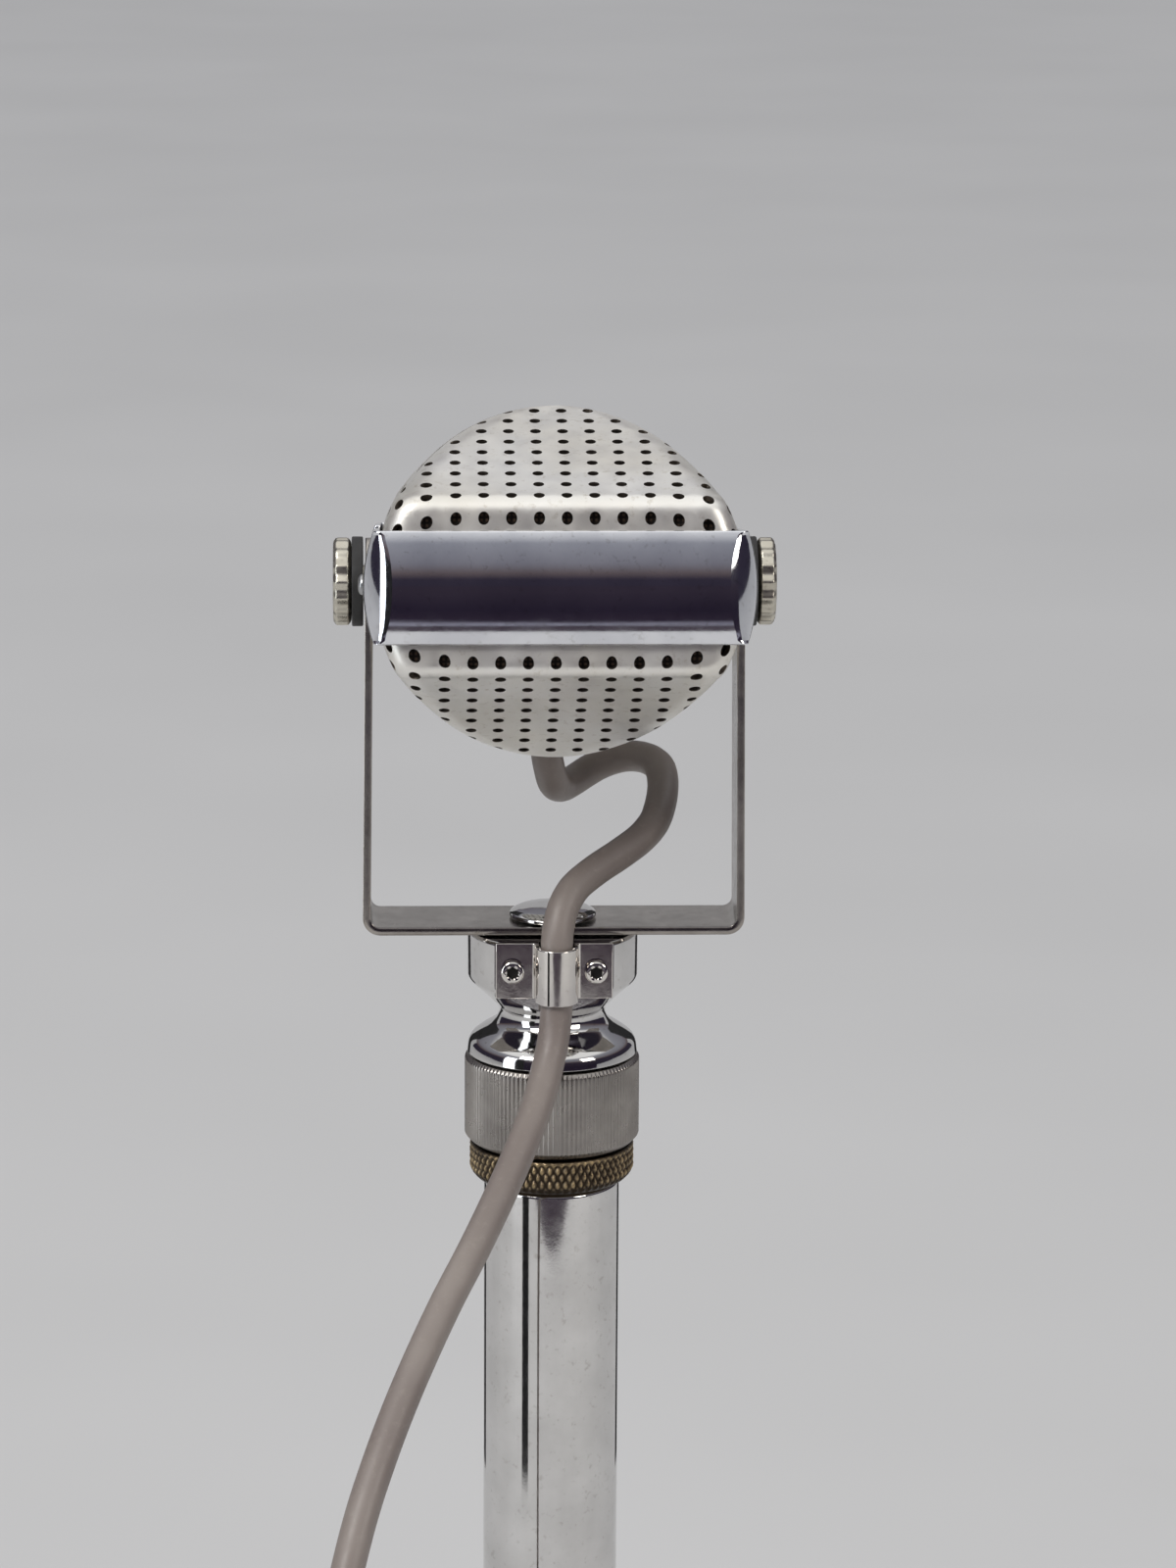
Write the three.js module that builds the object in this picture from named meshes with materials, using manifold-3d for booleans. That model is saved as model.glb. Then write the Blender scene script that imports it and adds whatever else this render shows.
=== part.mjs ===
// A desktop microphone on its stand: a small two-sided ribbon microphone head held between the
// arms of a strap yoke, a swivel fitting with a cable clip, a chromed tube and a round cast base.
// Millimetres, +Z up, the front of the microphone towards -Y, +X to the right.
// The origin is the centre of the base's underside.

import * as THREE from 'three';
import { mergeVertices } from 'three/addons/utils/BufferGeometryUtils.js';
import Module from 'manifold-3d';

// ---------------------------------------------------------------- driving dimensions

const GAP = 0.3;               // clearance kept between pieces that touch

const PIVOT_Z = 302;           // height of the head's tilt axis above the table
const HEAD_TILT = 10;          // degrees, nose up, at rest

// Base
const BASE_R = 75;
const PAD_H = 2;
const PAD_R = 72;
const PAD_HOLE_R = 24;
const HUB_TOP = 24;
const HUB_R = 17;
const HUB_BORE_R = 8.2;
const RECESS_R = 17;
const RECESS_TOP = 13;
const NUT_FLATS = 24;
const NUT_H = 5.6;

// Tube and the pieces stacked on it, as distances below the tilt axis
const TUBE_R = 9.9;
const TUBE_BORE_R = 8.5;
const STUD_R = 7.94;           // the tube's threaded ends
const STUD_BORE_R = 6;
const THREAD_R = 8.15;         // threaded bores that run on the studs
const STUD_TOP = 74.6;
const TUBE_SHOULDER = 88.5;
const LOCK_TOP = 83.1;
const LOCK_BOTTOM = 88.2;
const LOCK_R = 12;
const SLEEVE_TOP = 69.8;
const SLEEVE_BOTTOM = 82.7;
const SLEEVE_R = 12.7;
const SLEEVE_LIP = 2.1;
const SPIGOT_R = 6.5;
const FLANGE_TOP = 50.95;
const FLANGE_BOTTOM = 58.2;
const FLANGE_R = 12.35;
const BODY_BORE_R = 3.3;

// Cable clip on the flange's flat
const FLAT_Y = -8.9;
const CLIP_W = 16.8;
const CLIP_H = 8.2;
const CLIP_T = 0.65;
const CLIP_ARCH_R = 2.45;
const CLIP_SCREW_X = 6;
const CLIP_MID = 55;           // below the tilt axis

// Yoke
const YOKE_W = 12.6;           // the strap's width
const YOKE_T = 1.15;           // its thickness
const ARM_TOP_X = 25.8;        // inner faces at the tilt axis
const ARM_BOTTOM_X = 26.3;     // inner faces at the crossbar
const CROSS_TOP = 49.5;
const YOKE_BEND_R = 2.5;

// Knobs and washers on the tilt axis
const KNOB_R = 6.25;
const KNOB_IN = 28.9;
const KNOB_OUT = 31.5;
const KNOB_FLUTES = 16;
const WASHER_R = 6.4;
const WASHER_IN = 27.25;
const WASHER_OUT = 28.6;
const SHANK_R = 2.35;
const SHANK_HOLE_R = 2.7;

// Head, in its own frame: x' across, y' to the rear, z' up, centred on the tilt axis
const HEAD_R = 25;
const FRONT_Y = 34;            // the flat strip in the middle of each screen
const STRIP_HALF = 10.3;
const SHOULDER_Z = 12.6;
const RIM_Y = 2.5;
const SCREEN_T = 0.8;
const GAUZE_INSET = 1.15;
const GAUZE_T = 0.4;
const RING_R_IN = 21.2;
const RING_SPIGOT_R = 22.5;
const RING_SPIGOT_Y = 5.7;
const RING_RIB_Y = 2.2;
const BAND_HALF = 7.8;
const BAND_T = 0.9;
const BAND_EDGE_X = 25.6;
const BAND_EDGE_Y = 35.2;
const BAND_CROWN_X = 1.5;
const BAND_CROWN_Y = 1.3;
const BAND_END_Y = 13;
const BAND_SCREW_Y = 17;
const GROMMET_X = -0.8;        // the cable leaves through the rear screen's lower slope
const GROMMET_Y = 11.5;
const GROMMET_R = 3.6;
const GROMMET_OUT = 2.2;       // how far it stands out of the slope

// Cable
const CORD_D = 4.6;
const CLIP_CORD = [0.3, -11.55];   // where the cable stands in the clip
const COIL_CENTRE = [0, -138];
const COIL_MID_R = 27;
const COIL_WIDE = 4;               // turns side by side
const COIL_HIGH = 2;               // layers
const COIL_LIFT = 1;               // the tie's strap and its clearance under the coil
const TIE_T = 0.7;
const TIE_W = 6;

const DEG = Math.PI / 180;

// ---------------------------------------------------------------- materials

function metal(color, roughness, metalness = 1) {
  return new THREE.MeshStandardMaterial({ color, roughness, metalness });
}

const COLORS = {
  chrome: [0xc9ccd0, 0.08],
  satin: [0xb9b7b0, 0.35],
  nickel: [0xc6c0b2, 0.3],
  brass: [0x8f8566, 0.45],
  screen: [0xc8c5be, 0.45],
  steel: [0x8e9094, 0.4],
  copper: [0x9a6a45, 0.4],
};

const PAINTS = {
  enamel: [0x2a2b2c, 0.55],
  felt: [0x23352b, 0.95],
  rubber: [0x1b1b1c, 0.7],
  cord: [0x8c827b, 0.55],
  gauze: [0x4a3c30, 0.9],
  magnet: [0x5b5d60, 0.6],
  board: [0x6b4a2c, 0.7],
};

function finish(name) {
  if (name in COLORS) return metal(...COLORS[name]);
  return metal(...PAINTS[name], 0);
}

// ---------------------------------------------------------------- solids

const wasm = await Module();
wasm.setup();

// A closed mesh as a solid that can be cut and joined.
function solid(geometry) {
  const bare = geometry.index ? geometry.toNonIndexed() : geometry.clone();
  bare.deleteAttribute('normal');
  bare.deleteAttribute('uv');
  const merged = mergeVertices(bare, 1e-4);
  return new wasm.Manifold(new wasm.Mesh({
    numProp: 3,
    vertProperties: new Float32Array(merged.attributes.position.array),
    triVerts: new Uint32Array(merged.index.array),
  }));
}

function geometryOf(body) {
  const mesh = body.getMesh();
  const geometry = new THREE.BufferGeometry();
  geometry.setAttribute('position', new THREE.BufferAttribute(new Float32Array(mesh.vertProperties), 3));
  geometry.setIndex(new THREE.BufferAttribute(new Uint32Array(mesh.triVerts), 1));
  geometry.computeVertexNormals();
  return geometry;
}

// The geometry with every tool in the list cut from it.
function cut(geometry, tools) {
  let body = solid(geometry);
  for (const tool of tools) body = body.subtract(solid(tool));
  return geometryOf(body);
}

function common(first, ...others) {
  let body = solid(first);
  for (const other of others) body = body.intersect(solid(other));
  return geometryOf(body);
}

// Six times the signed volume: negative when the faces point inwards.
function signedVolume(geometry) {
  const p = geometry.attributes.position;
  const a = new THREE.Vector3();
  const b = new THREE.Vector3();
  const c = new THREE.Vector3();
  let sum = 0;
  for (let i = 0; i < p.count; i += 3) {
    a.fromBufferAttribute(p, i);
    b.fromBufferAttribute(p, i + 1);
    c.fromBufferAttribute(p, i + 2);
    sum += a.dot(b.cross(c));
  }
  return sum;
}

function facingOut(geometry) {
  const flat = geometry.index ? geometry.toNonIndexed() : geometry;
  if (signedVolume(flat) > 0) return flat;
  const p = flat.attributes.position;
  for (let i = 0; i < p.count; i += 3) {
    for (const get of ['X', 'Y', 'Z']) {
      const kept = p[`get${get}`](i + 1);
      p[`set${get}`](i + 1, p[`get${get}`](i + 2));
      p[`set${get}`](i + 2, kept);
    }
  }
  flat.computeVertexNormals();
  return flat;
}

// A body turned about Z from [radius, height] points, in order round its section.
// A section that doesn't start on the axis is closed on itself.
function turned(profile, segments = 28) {
  const points = profile.map(([r, z]) => new THREE.Vector2(r, z));
  const onAxis = profile[0][0] === 0 && profile.at(-1)[0] === 0;
  if (!onAxis) points.push(points[0].clone());
  const geometry = new THREE.LatheGeometry(points, segments);
  geometry.rotateX(Math.PI / 2);
  return facingOut(geometry);
}

// A plain rod or disc about Z between two heights.
function rod(radius, low, high, segments = 20) {
  return turned([[0, low], [radius, low], [radius, high], [0, high]], segments);
}

// The rod laid along X or Y.
function rodX(radius, low, high, segments = 24) {
  return rod(radius, low, high, segments).applyMatrix4(new THREE.Matrix4().makeBasis(
    new THREE.Vector3(0, 1, 0), new THREE.Vector3(0, 0, 1), new THREE.Vector3(1, 0, 0)));
}

function rodY(radius, low, high, segments = 24) {
  return turnedY([[0, low], [radius, low], [radius, high], [0, high]], segments);
}

// Turned about Y instead: the heights run along +Y.
function turnedY(profile, segments = 24) {
  return turned(profile, segments).applyMatrix4(new THREE.Matrix4().makeBasis(
    new THREE.Vector3(0, 0, 1), new THREE.Vector3(1, 0, 0), new THREE.Vector3(0, 1, 0)));
}

function outline(points) {
  return new THREE.Shape(points.map(([u, v]) => new THREE.Vector2(u, v)));
}

function drawnOut(shape, depth, curveSegments) {
  return new THREE.ExtrudeGeometry(shape, { depth, bevelEnabled: false, curveSegments });
}

// An outline of (y, z) points drawn out along X, from low to high.
function alongX(shape, low, high, curveSegments = 12) {
  const geometry = drawnOut(shape, high - low, curveSegments);
  geometry.applyMatrix4(new THREE.Matrix4().makeBasis(
    new THREE.Vector3(0, 1, 0), new THREE.Vector3(0, 0, 1), new THREE.Vector3(1, 0, 0)));
  return geometry.translate(low, 0, 0);
}

// An outline of (x, z) points drawn out along Y, from low to high.
function alongY(shape, low, high, curveSegments = 12) {
  const geometry = drawnOut(shape, high - low, curveSegments);
  geometry.applyMatrix4(new THREE.Matrix4().makeBasis(
    new THREE.Vector3(1, 0, 0), new THREE.Vector3(0, 0, 1), new THREE.Vector3(0, -1, 0)));
  return geometry.translate(0, high, 0);
}

// An outline of (x, y) points drawn out along Z.
function alongZ(shape, low, high, curveSegments = 12) {
  return drawnOut(shape, high - low, curveSegments).translate(0, 0, low);
}

function box(low, high) {
  const size = high.map((v, i) => v - low[i]);
  const geometry = new THREE.BoxGeometry(...size);
  return geometry.translate(...low.map((v, i) => v + size[i] / 2));
}

// A block with its long edges bevelled.
function block(low, high, bevel) {
  const [x0, y0, z0] = low;
  const [x1, y1, z1] = high;
  const section = outline([
    [x0 + bevel, y0], [x1 - bevel, y0], [x1, y0 + bevel], [x1, y1 - bevel],
    [x1 - bevel, y1], [x0 + bevel, y1], [x0, y1 - bevel], [x0, y0 + bevel],
  ]);
  return alongZ(section, z0, z1);
}

// ---------------------------------------------------------------- the scene graph

const stand = new THREE.Group();
const head = new THREE.Group();
head.position.set(0, 0, PIVOT_Z);
head.rotation.x = -HEAD_TILT * DEG;
stand.add(head);

function piece(name, geometry, material, parent = stand) {
  const mesh = new THREE.Mesh(geometry, finish(material));
  mesh.name = name;
  parent.add(mesh);
  return mesh;
}

// Height of a point given as a distance below the tilt axis.
function below(distance) {
  return PIVOT_Z - distance;
}

// ---------------------------------------------------------------- base

function baseCasting() {
  const low = PAD_H + GAP;
  const profile = [
    [HUB_BORE_R, RECESS_TOP], [RECESS_R, RECESS_TOP], [RECESS_R, low], [BASE_R - 1, low],
    [BASE_R, low + 1], [BASE_R, 8],
  ];
  profile.push([BASE_R - 1.2, 10.8], [BASE_R - 4, 12], [BASE_R - 10, 12.8], [BASE_R - 12, 14], [48, 16.2]);
  profile.push([26, 18.6], [20, 20.8], [HUB_R, HUB_TOP], [HUB_BORE_R, HUB_TOP]);
  return turned(profile, 40);
}

function basePad() {
  return turned([[PAD_HOLE_R, 0], [PAD_R, 0], [PAD_R, PAD_H], [PAD_HOLE_R, PAD_H]], 40);
}

const WASHER_TOP = RECESS_TOP - GAP;
const WASHER_LOW = WASHER_TOP - 1.5;

function baseWasher() {
  return turned([
    [HUB_BORE_R, WASHER_LOW], [15, WASHER_LOW], [15, WASHER_TOP], [HUB_BORE_R, WASHER_TOP],
  ]);
}

function baseNut() {
  const top = WASHER_LOW - GAP;
  const corner = NUT_FLATS / Math.sqrt(3);
  const hexagon = new THREE.Shape();
  for (let i = 0; i < 6; i += 1) {
    const point = [corner * Math.cos(i * 60 * DEG), corner * Math.sin(i * 60 * DEG)];
    if (i === 0) hexagon.moveTo(...point);
    else hexagon.lineTo(...point);
  }
  const bore = rod(THREAD_R, top - NUT_H - 1, top + 1);
  return cut(alongZ(hexagon, top - NUT_H, top), [bore]);
}

piece('base_casting', baseCasting(), 'enamel');
piece('base_pad', basePad(), 'felt');
piece('base_washer', baseWasher(), 'steel');
piece('base_nut', baseNut(), 'steel');

// ---------------------------------------------------------------- tube

function tubeCollar() {
  const low = HUB_TOP + GAP;
  const inner = TUBE_R + GAP;
  return turned([
    [inner, low], [16, low], [16, low + 1.6], [15.2, low + 2.6], [13.4, low + 3.4],
    [12.4, low + 4.8], [12, low + 6.4], [11.4, low + 7], [inner, low + 7],
  ]);
}

function standTube() {
  const foot = 4.2;
  const shoulder = HUB_TOP + GAP;
  return turned([
    [STUD_BORE_R, foot], [STUD_R, foot], [STUD_R, shoulder], [TUBE_R, shoulder],
    [TUBE_R, below(TUBE_SHOULDER + 0.6)], [TUBE_R - 0.6, below(TUBE_SHOULDER)],
    [STUD_R, below(TUBE_SHOULDER)], [STUD_R, below(STUD_TOP + 0.8)],
    [STUD_R - 0.8, below(STUD_TOP)], [STUD_BORE_R, below(STUD_TOP)],
    [STUD_BORE_R, below(TUBE_SHOULDER + 3)], [TUBE_BORE_R, below(TUBE_SHOULDER + 6)],
    [TUBE_BORE_R, shoulder + 8], [STUD_BORE_R, shoulder + 5],
  ]);
}

function lockRing() {
  return turned([
    [THREAD_R, below(LOCK_BOTTOM)], [LOCK_R - 1, below(LOCK_BOTTOM)], [LOCK_R, below(LOCK_BOTTOM - 1)],
    [LOCK_R, below(LOCK_TOP + 0.5)], [LOCK_R - 0.5, below(LOCK_TOP)], [THREAD_R, below(LOCK_TOP)],
  ], 32);
}

piece('tube_collar', tubeCollar(), 'chrome');
piece('stand_tube', standTube(), 'chrome');
piece('lock_ring', lockRing(), 'brass');

// ---------------------------------------------------------------- swivel fitting

// The knurled sleeve runs on the tube's stud, and its lip holds the swivel body down.
function couplingSleeve() {
  const lipLow = SLEEVE_TOP + SLEEVE_LIP;
  return turned([
    [THREAD_R, below(SLEEVE_BOTTOM)], [SLEEVE_R - 0.9, below(SLEEVE_BOTTOM)],
    [SLEEVE_R, below(SLEEVE_BOTTOM - 0.9)], [SLEEVE_R, below(SLEEVE_TOP + 0.6)],
    [SLEEVE_R - 0.6, below(SLEEVE_TOP)], [SPIGOT_R + GAP, below(SLEEVE_TOP)],
    [SPIGOT_R + GAP, below(lipLow)], [THREAD_R, below(lipLow)],
  ], 32);
}

const SPIGOT_END = 73.4;
const SNAP_TOP = SLEEVE_TOP + SLEEVE_LIP + GAP;
const SNAP_H = 0.8;
const GROOVE_R = 5.6;

function swivelBody() {
  const bottom = SLEEVE_TOP - 0.45;
  const turnedBody = turned([
    [BODY_BORE_R, below(FLANGE_TOP)], [FLANGE_R - 0.4, below(FLANGE_TOP)],
    [FLANGE_R, below(FLANGE_TOP + 0.4)], [FLANGE_R, below(FLANGE_BOTTOM)],
    [9.8, below(60.5)], [7.9, below(62.4)], [7.6, below(63.5)], [8.2, below(64.9)], [10.4, below(66.2)],
    [12.1, below(67.5)], [12.4, below(bottom)],
    [SPIGOT_R, below(bottom)], [SPIGOT_R, below(SNAP_TOP - 0.15)],
    [GROOVE_R, below(SNAP_TOP - 0.15)], [GROOVE_R, below(SNAP_TOP + SNAP_H + 0.15)],
    [SPIGOT_R - 0.3, below(SNAP_TOP + SNAP_H + 0.15)], [SPIGOT_R - 0.3, below(SPIGOT_END)],
    [BODY_BORE_R, below(SPIGOT_END)],
  ], 32);
  const flat = box([-20, -20, below(62)], [20, FLAT_Y, below(40)]);
  const holes = [-1, 1].map((side) => rodY(1.2, -20, -4, 8)
    .translate(side * CLIP_SCREW_X, 0, below(CLIP_MID)));
  return cut(turnedBody, [flat, ...holes]);
}

function retainingRing() {
  return turned([
    [GROOVE_R + 0.2, below(SNAP_TOP)], [7.6, below(SNAP_TOP)],
    [7.6, below(SNAP_TOP + SNAP_H)], [GROOVE_R + 0.2, below(SNAP_TOP + SNAP_H)],
  ], 18);
}

function thrustWasher() {
  const top = SPIGOT_END + GAP;
  return turned([
    [3.6, below(top)], [7.4, below(top)], [7.4, below(top + 0.6)], [3.6, below(top + 0.6)],
  ], 18);
}

piece('coupling_sleeve', couplingSleeve(), 'satin');
piece('swivel_body', swivelBody(), 'chrome');
piece('retaining_ring', retainingRing(), 'steel');
piece('thrust_washer', thrustWasher(), 'board');

// ---------------------------------------------------------------- cable clip

// A strap with a saddle arch over the cable, screwed to the flange's flat.
function cableClip() {
  const back = FLAT_Y - GAP;
  const front = back - CLIP_T;
  const [cordX, cordY] = CLIP_CORD;
  const outerR = CLIP_ARCH_R + CLIP_T;
  const shape = new THREE.Shape();
  shape.moveTo(-CLIP_W / 2, back);
  shape.lineTo(-CLIP_W / 2, front);
  shape.lineTo(cordX - outerR, front);
  shape.lineTo(cordX - outerR, cordY);
  shape.absarc(cordX, cordY, outerR, Math.PI, 2 * Math.PI, false);
  shape.lineTo(cordX + outerR, front);
  shape.lineTo(CLIP_W / 2, front);
  shape.lineTo(CLIP_W / 2, back);
  shape.lineTo(cordX + CLIP_ARCH_R, back);
  shape.lineTo(cordX + CLIP_ARCH_R, cordY);
  shape.absarc(cordX, cordY, CLIP_ARCH_R, 0, Math.PI, true);
  shape.lineTo(cordX - CLIP_ARCH_R, back);
  const strap = alongZ(shape, below(CLIP_MID) - CLIP_H / 2, below(CLIP_MID) + CLIP_H / 2, 8);
  const holes = [-1, 1].map((side) => rodY(1.2, -20, 0, 8)
    .translate(side * CLIP_SCREW_X, 0, below(CLIP_MID)));
  return cut(strap, holes);
}

// A small socket-head screw, its head forward and its shank running back along +Y.
function clipScrew(side) {
  const seat = FLAT_Y - GAP - CLIP_T - GAP;
  const face = seat - 1.2;
  return turnedY([
    [0, seat + 5.5], [0.9, seat + 5.5], [0.9, seat], [1.65, seat], [1.65, face + 0.3],
    [1.35, face], [0.85, face], [0.85, face + 0.8], [0, face + 0.8],
  ], 12).translate(side * CLIP_SCREW_X, 0, below(CLIP_MID));
}

piece('cable_clip', cableClip(), 'nickel');
piece('clip_screw_left', clipScrew(-1), 'steel');
piece('clip_screw_right', clipScrew(1), 'steel');

// ---------------------------------------------------------------- yoke

// The bent strap in the XZ plane: outer line down, across and up, then back along the inner line.
function yokeSection() {
  const top = PIVOT_Z + YOKE_W / 2 + 1;
  const crossTop = below(CROSS_TOP);
  const crossLow = crossTop - YOKE_T;
  const lean = (ARM_BOTTOM_X - ARM_TOP_X) / CROSS_TOP;
  const innerX = (z) => ARM_TOP_X + lean * (PIVOT_Z - z);
  const innerR = YOKE_BEND_R - YOKE_T;
  const bendZ = crossLow + YOKE_BEND_R;
  const shape = new THREE.Shape();
  shape.moveTo(-innerX(top) - YOKE_T, top);
  shape.lineTo(-innerX(bendZ) - YOKE_T, bendZ);
  shape.absarc(-innerX(bendZ) - YOKE_T + YOKE_BEND_R, bendZ, YOKE_BEND_R, Math.PI, 1.5 * Math.PI, false);
  shape.absarc(innerX(bendZ) + YOKE_T - YOKE_BEND_R, bendZ, YOKE_BEND_R, 1.5 * Math.PI, 2 * Math.PI, false);
  shape.lineTo(innerX(top) + YOKE_T, top);
  shape.lineTo(innerX(top), top);
  shape.lineTo(innerX(bendZ), bendZ);
  shape.absarc(innerX(bendZ) - innerR, bendZ, innerR, 0, -0.5 * Math.PI, true);
  shape.absarc(-innerX(bendZ) + innerR, bendZ, innerR, -0.5 * Math.PI, -Math.PI, true);
  shape.lineTo(-innerX(top), top);
  return shape;
}

function yoke() {
  const half = YOKE_W / 2;
  const side = new THREE.Shape();
  side.moveTo(-half, below(CROSS_TOP + 5));
  side.lineTo(half, below(CROSS_TOP + 5));
  side.lineTo(half, PIVOT_Z);
  side.absarc(0, PIVOT_Z, half, 0, Math.PI, false);
  const strap = alongY(yokeSection(), -half - 1, half + 1, 5);
  const body = common(strap, alongX(side, -40, 40, 8));
  const pivotHole = rodX(SHANK_HOLE_R, -40, 40, 16).translate(0, 0, PIVOT_Z);
  const screwHole = rod(BODY_BORE_R, below(CROSS_TOP + 5), below(CROSS_TOP - 5), 16);
  return cut(body, [pivotHole, screwHole]);
}

function yokeScrew() {
  const seat = below(CROSS_TOP) + GAP;
  return turned([
    [0, below(63)], [3, below(63)], [3, seat], [6.25, seat], [6.25, seat + 0.5],
    [5.2, seat + 1.1], [2.8, seat + 1.5], [0, seat + 1.55],
  ], 28);
}

piece('yoke', yoke(), 'chrome');
piece('yoke_screw', yokeScrew(), 'chrome');

// ---------------------------------------------------------------- friction washers and knobs

function frictionWasher() {
  return turned([
    [SHANK_HOLE_R, WASHER_IN], [WASHER_R, WASHER_IN], [WASHER_R, WASHER_OUT], [SHANK_HOLE_R, WASHER_OUT],
  ], 24);
}

// A fluted disc with its threaded shank, drawn along +Z and turned to lie on the tilt axis.
function thumbScrew() {
  const flutes = new THREE.Shape();
  const steps = KNOB_FLUTES * 4;
  for (let i = 0; i < steps; i += 1) {
    const angle = (i / steps) * 2 * Math.PI;
    const radius = KNOB_R - 0.32 * (0.5 - 0.5 * Math.cos(KNOB_FLUTES * angle));
    const point = [radius * Math.cos(angle), radius * Math.sin(angle)];
    if (i === 0) flutes.moveTo(...point);
    else flutes.lineTo(...point);
  }
  const rim = alongZ(flutes, KNOB_IN, KNOB_OUT);
  const envelope = turned([
    [0, KNOB_IN - 1], [KNOB_R - 0.9, KNOB_IN - 1], [KNOB_R - 0.4, KNOB_IN], [KNOB_R + 0.2, KNOB_IN + 0.6],
    [KNOB_R + 0.2, KNOB_OUT - 0.6], [KNOB_R - 0.5, KNOB_OUT], [0, KNOB_OUT],
  ], 20);
  const shank = rod(SHANK_R, 18.6, KNOB_IN + 0.5, 12);
  return geometryOf(solid(rim).intersect(solid(envelope)).add(solid(shank)));
}

for (const [name, side] of [['left', -1], ['right', 1]]) {
  const washer = piece(`friction_washer_${name}`, frictionWasher(), 'rubber');
  washer.position.z = PIVOT_Z;
  washer.rotation.y = side * 90 * DEG;
  const knob = piece(`thumb_screw_${name}`, thumbScrew(), 'nickel', head);
  knob.rotation.y = side * 90 * DEG;
}

// ---------------------------------------------------------------- head shell

const SLOPE = Math.atan2(HEAD_R - SHOULDER_Z, FRONT_Y - 1.5 - RIM_Y);

// One screen's side outline, moved in by an inset: a flat strip, a tight shoulder, a long slope
// to the rim, in (y', z'), for the rear half. The rim end runs on past the drum's middle.
function wedge(inset, rim) {
  const front = FRONT_Y - inset;
  const slopeStart = new THREE.Vector2(FRONT_Y - 1.5, SHOULDER_Z);
  const move = new THREE.Vector2(-Math.sin(SLOPE), -Math.cos(SLOPE)).multiplyScalar(inset);
  slopeStart.add(move);
  const rimZ = slopeStart.y + (slopeStart.x - rim) * Math.tan(SLOPE);
  const stripZ = STRIP_HALF - inset * 0.3;
  const cornerZ = slopeStart.y - (front - slopeStart.x) * Math.tan(SLOPE);
  const shape = new THREE.Shape();
  shape.moveTo(rim, rimZ);
  shape.lineTo(rim, -rimZ);
  shape.lineTo(slopeStart.x, -slopeStart.y);
  shape.quadraticCurveTo(front, -cornerZ, front, -stripZ);
  shape.lineTo(front, stripZ);
  shape.quadraticCurveTo(front, cornerZ, slopeStart.x, slopeStart.y);
  return shape;
}

// The wedge within the drum's round outline, all moved in by the inset.
function wedgeBody(inset, rim) {
  const slab = alongX(wedge(inset, rim), -30, 30, 4);
  return common(slab, rodY(HEAD_R - inset, rim - 1, 50, 48));
}

// A body drawn about Z, outwards along -Z from the screen's surface, set on the rear lower slope.
function onLowerSlope(geometry) {
  const surface = -(HEAD_R - (GROMMET_Y - RIM_Y) * Math.tan(SLOPE));
  return geometry.rotateX(SLOPE).translate(GROMMET_X, GROMMET_Y, surface);
}

function bossNotch() {
  return rodX(5, -30, 30, 12);
}

function shell(inset, thickness, rim) {
  const outside = wedgeBody(inset, rim);
  const inside = wedgeBody(inset + thickness, rim - 0.5);
  return cut(outside, [inside, bossNotch()]);
}

// The ring between the two screens, with a spigot inside each.
function carrierRing() {
  const half = [
    [RING_R_IN, -RING_SPIGOT_Y], [RING_SPIGOT_R, -RING_SPIGOT_Y], [RING_SPIGOT_R, -RING_RIB_Y],
    [HEAD_R - 0.1, -RING_RIB_Y], [HEAD_R - 0.1, RING_RIB_Y], [RING_SPIGOT_R, RING_RIB_Y],
    [RING_SPIGOT_R, RING_SPIGOT_Y], [RING_R_IN, RING_SPIGOT_Y],
  ];
  return cut(turnedY(half, 40), [bossNotch()]);
}

function pivotBoss() {
  return turned([
    [SHANK_HOLE_R, 17.4], [5.6, 17.4], [5.6, 20.2], [4.7, 20.2], [4.7, 25.5], [SHANK_HOLE_R, 25.5],
  ], 18);
}

function cableGrommet() {
  return onLowerSlope(turned([
    [GROMMET_R - 1, 1.8], [GROMMET_R, 1.8], [GROMMET_R, -GAP], [4.9, -GAP], [4.7, -1.2],
    [3.4, -GROMMET_OUT], [GROMMET_R - 1, -GROMMET_OUT],
  ], 18));
}

piece('carrier_ring', carrierRing(), 'satin', head);
// Both halves are drawn as the rear one, and the front one is turned round.
for (const [name, turn] of [['front', 180], ['rear', 0]]) {
  const cableHole = turn === 0 ? [onLowerSlope(rod(GROMMET_R + GAP, -5, 5, 14))] : [];
  const screen = cut(shell(0, SCREEN_T, RIM_Y), cableHole);
  const gauze = cut(shell(GAUZE_INSET, GAUZE_T, RING_SPIGOT_Y + GAP), cableHole);
  piece(`${name}_screen`, screen, 'screen', head).rotation.z = turn * DEG;
  piece(`${name}_gauze`, gauze, 'gauze', head).rotation.z = turn * DEG;
}
for (const [name, side] of [['left', -1], ['right', 1]]) {
  piece(`pivot_boss_${name}`, pivotBoss(), 'steel', head).rotation.y = side * 90 * DEG;
}
piece('cable_grommet', cableGrommet(), 'rubber', head);

// ---------------------------------------------------------------- bands

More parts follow.
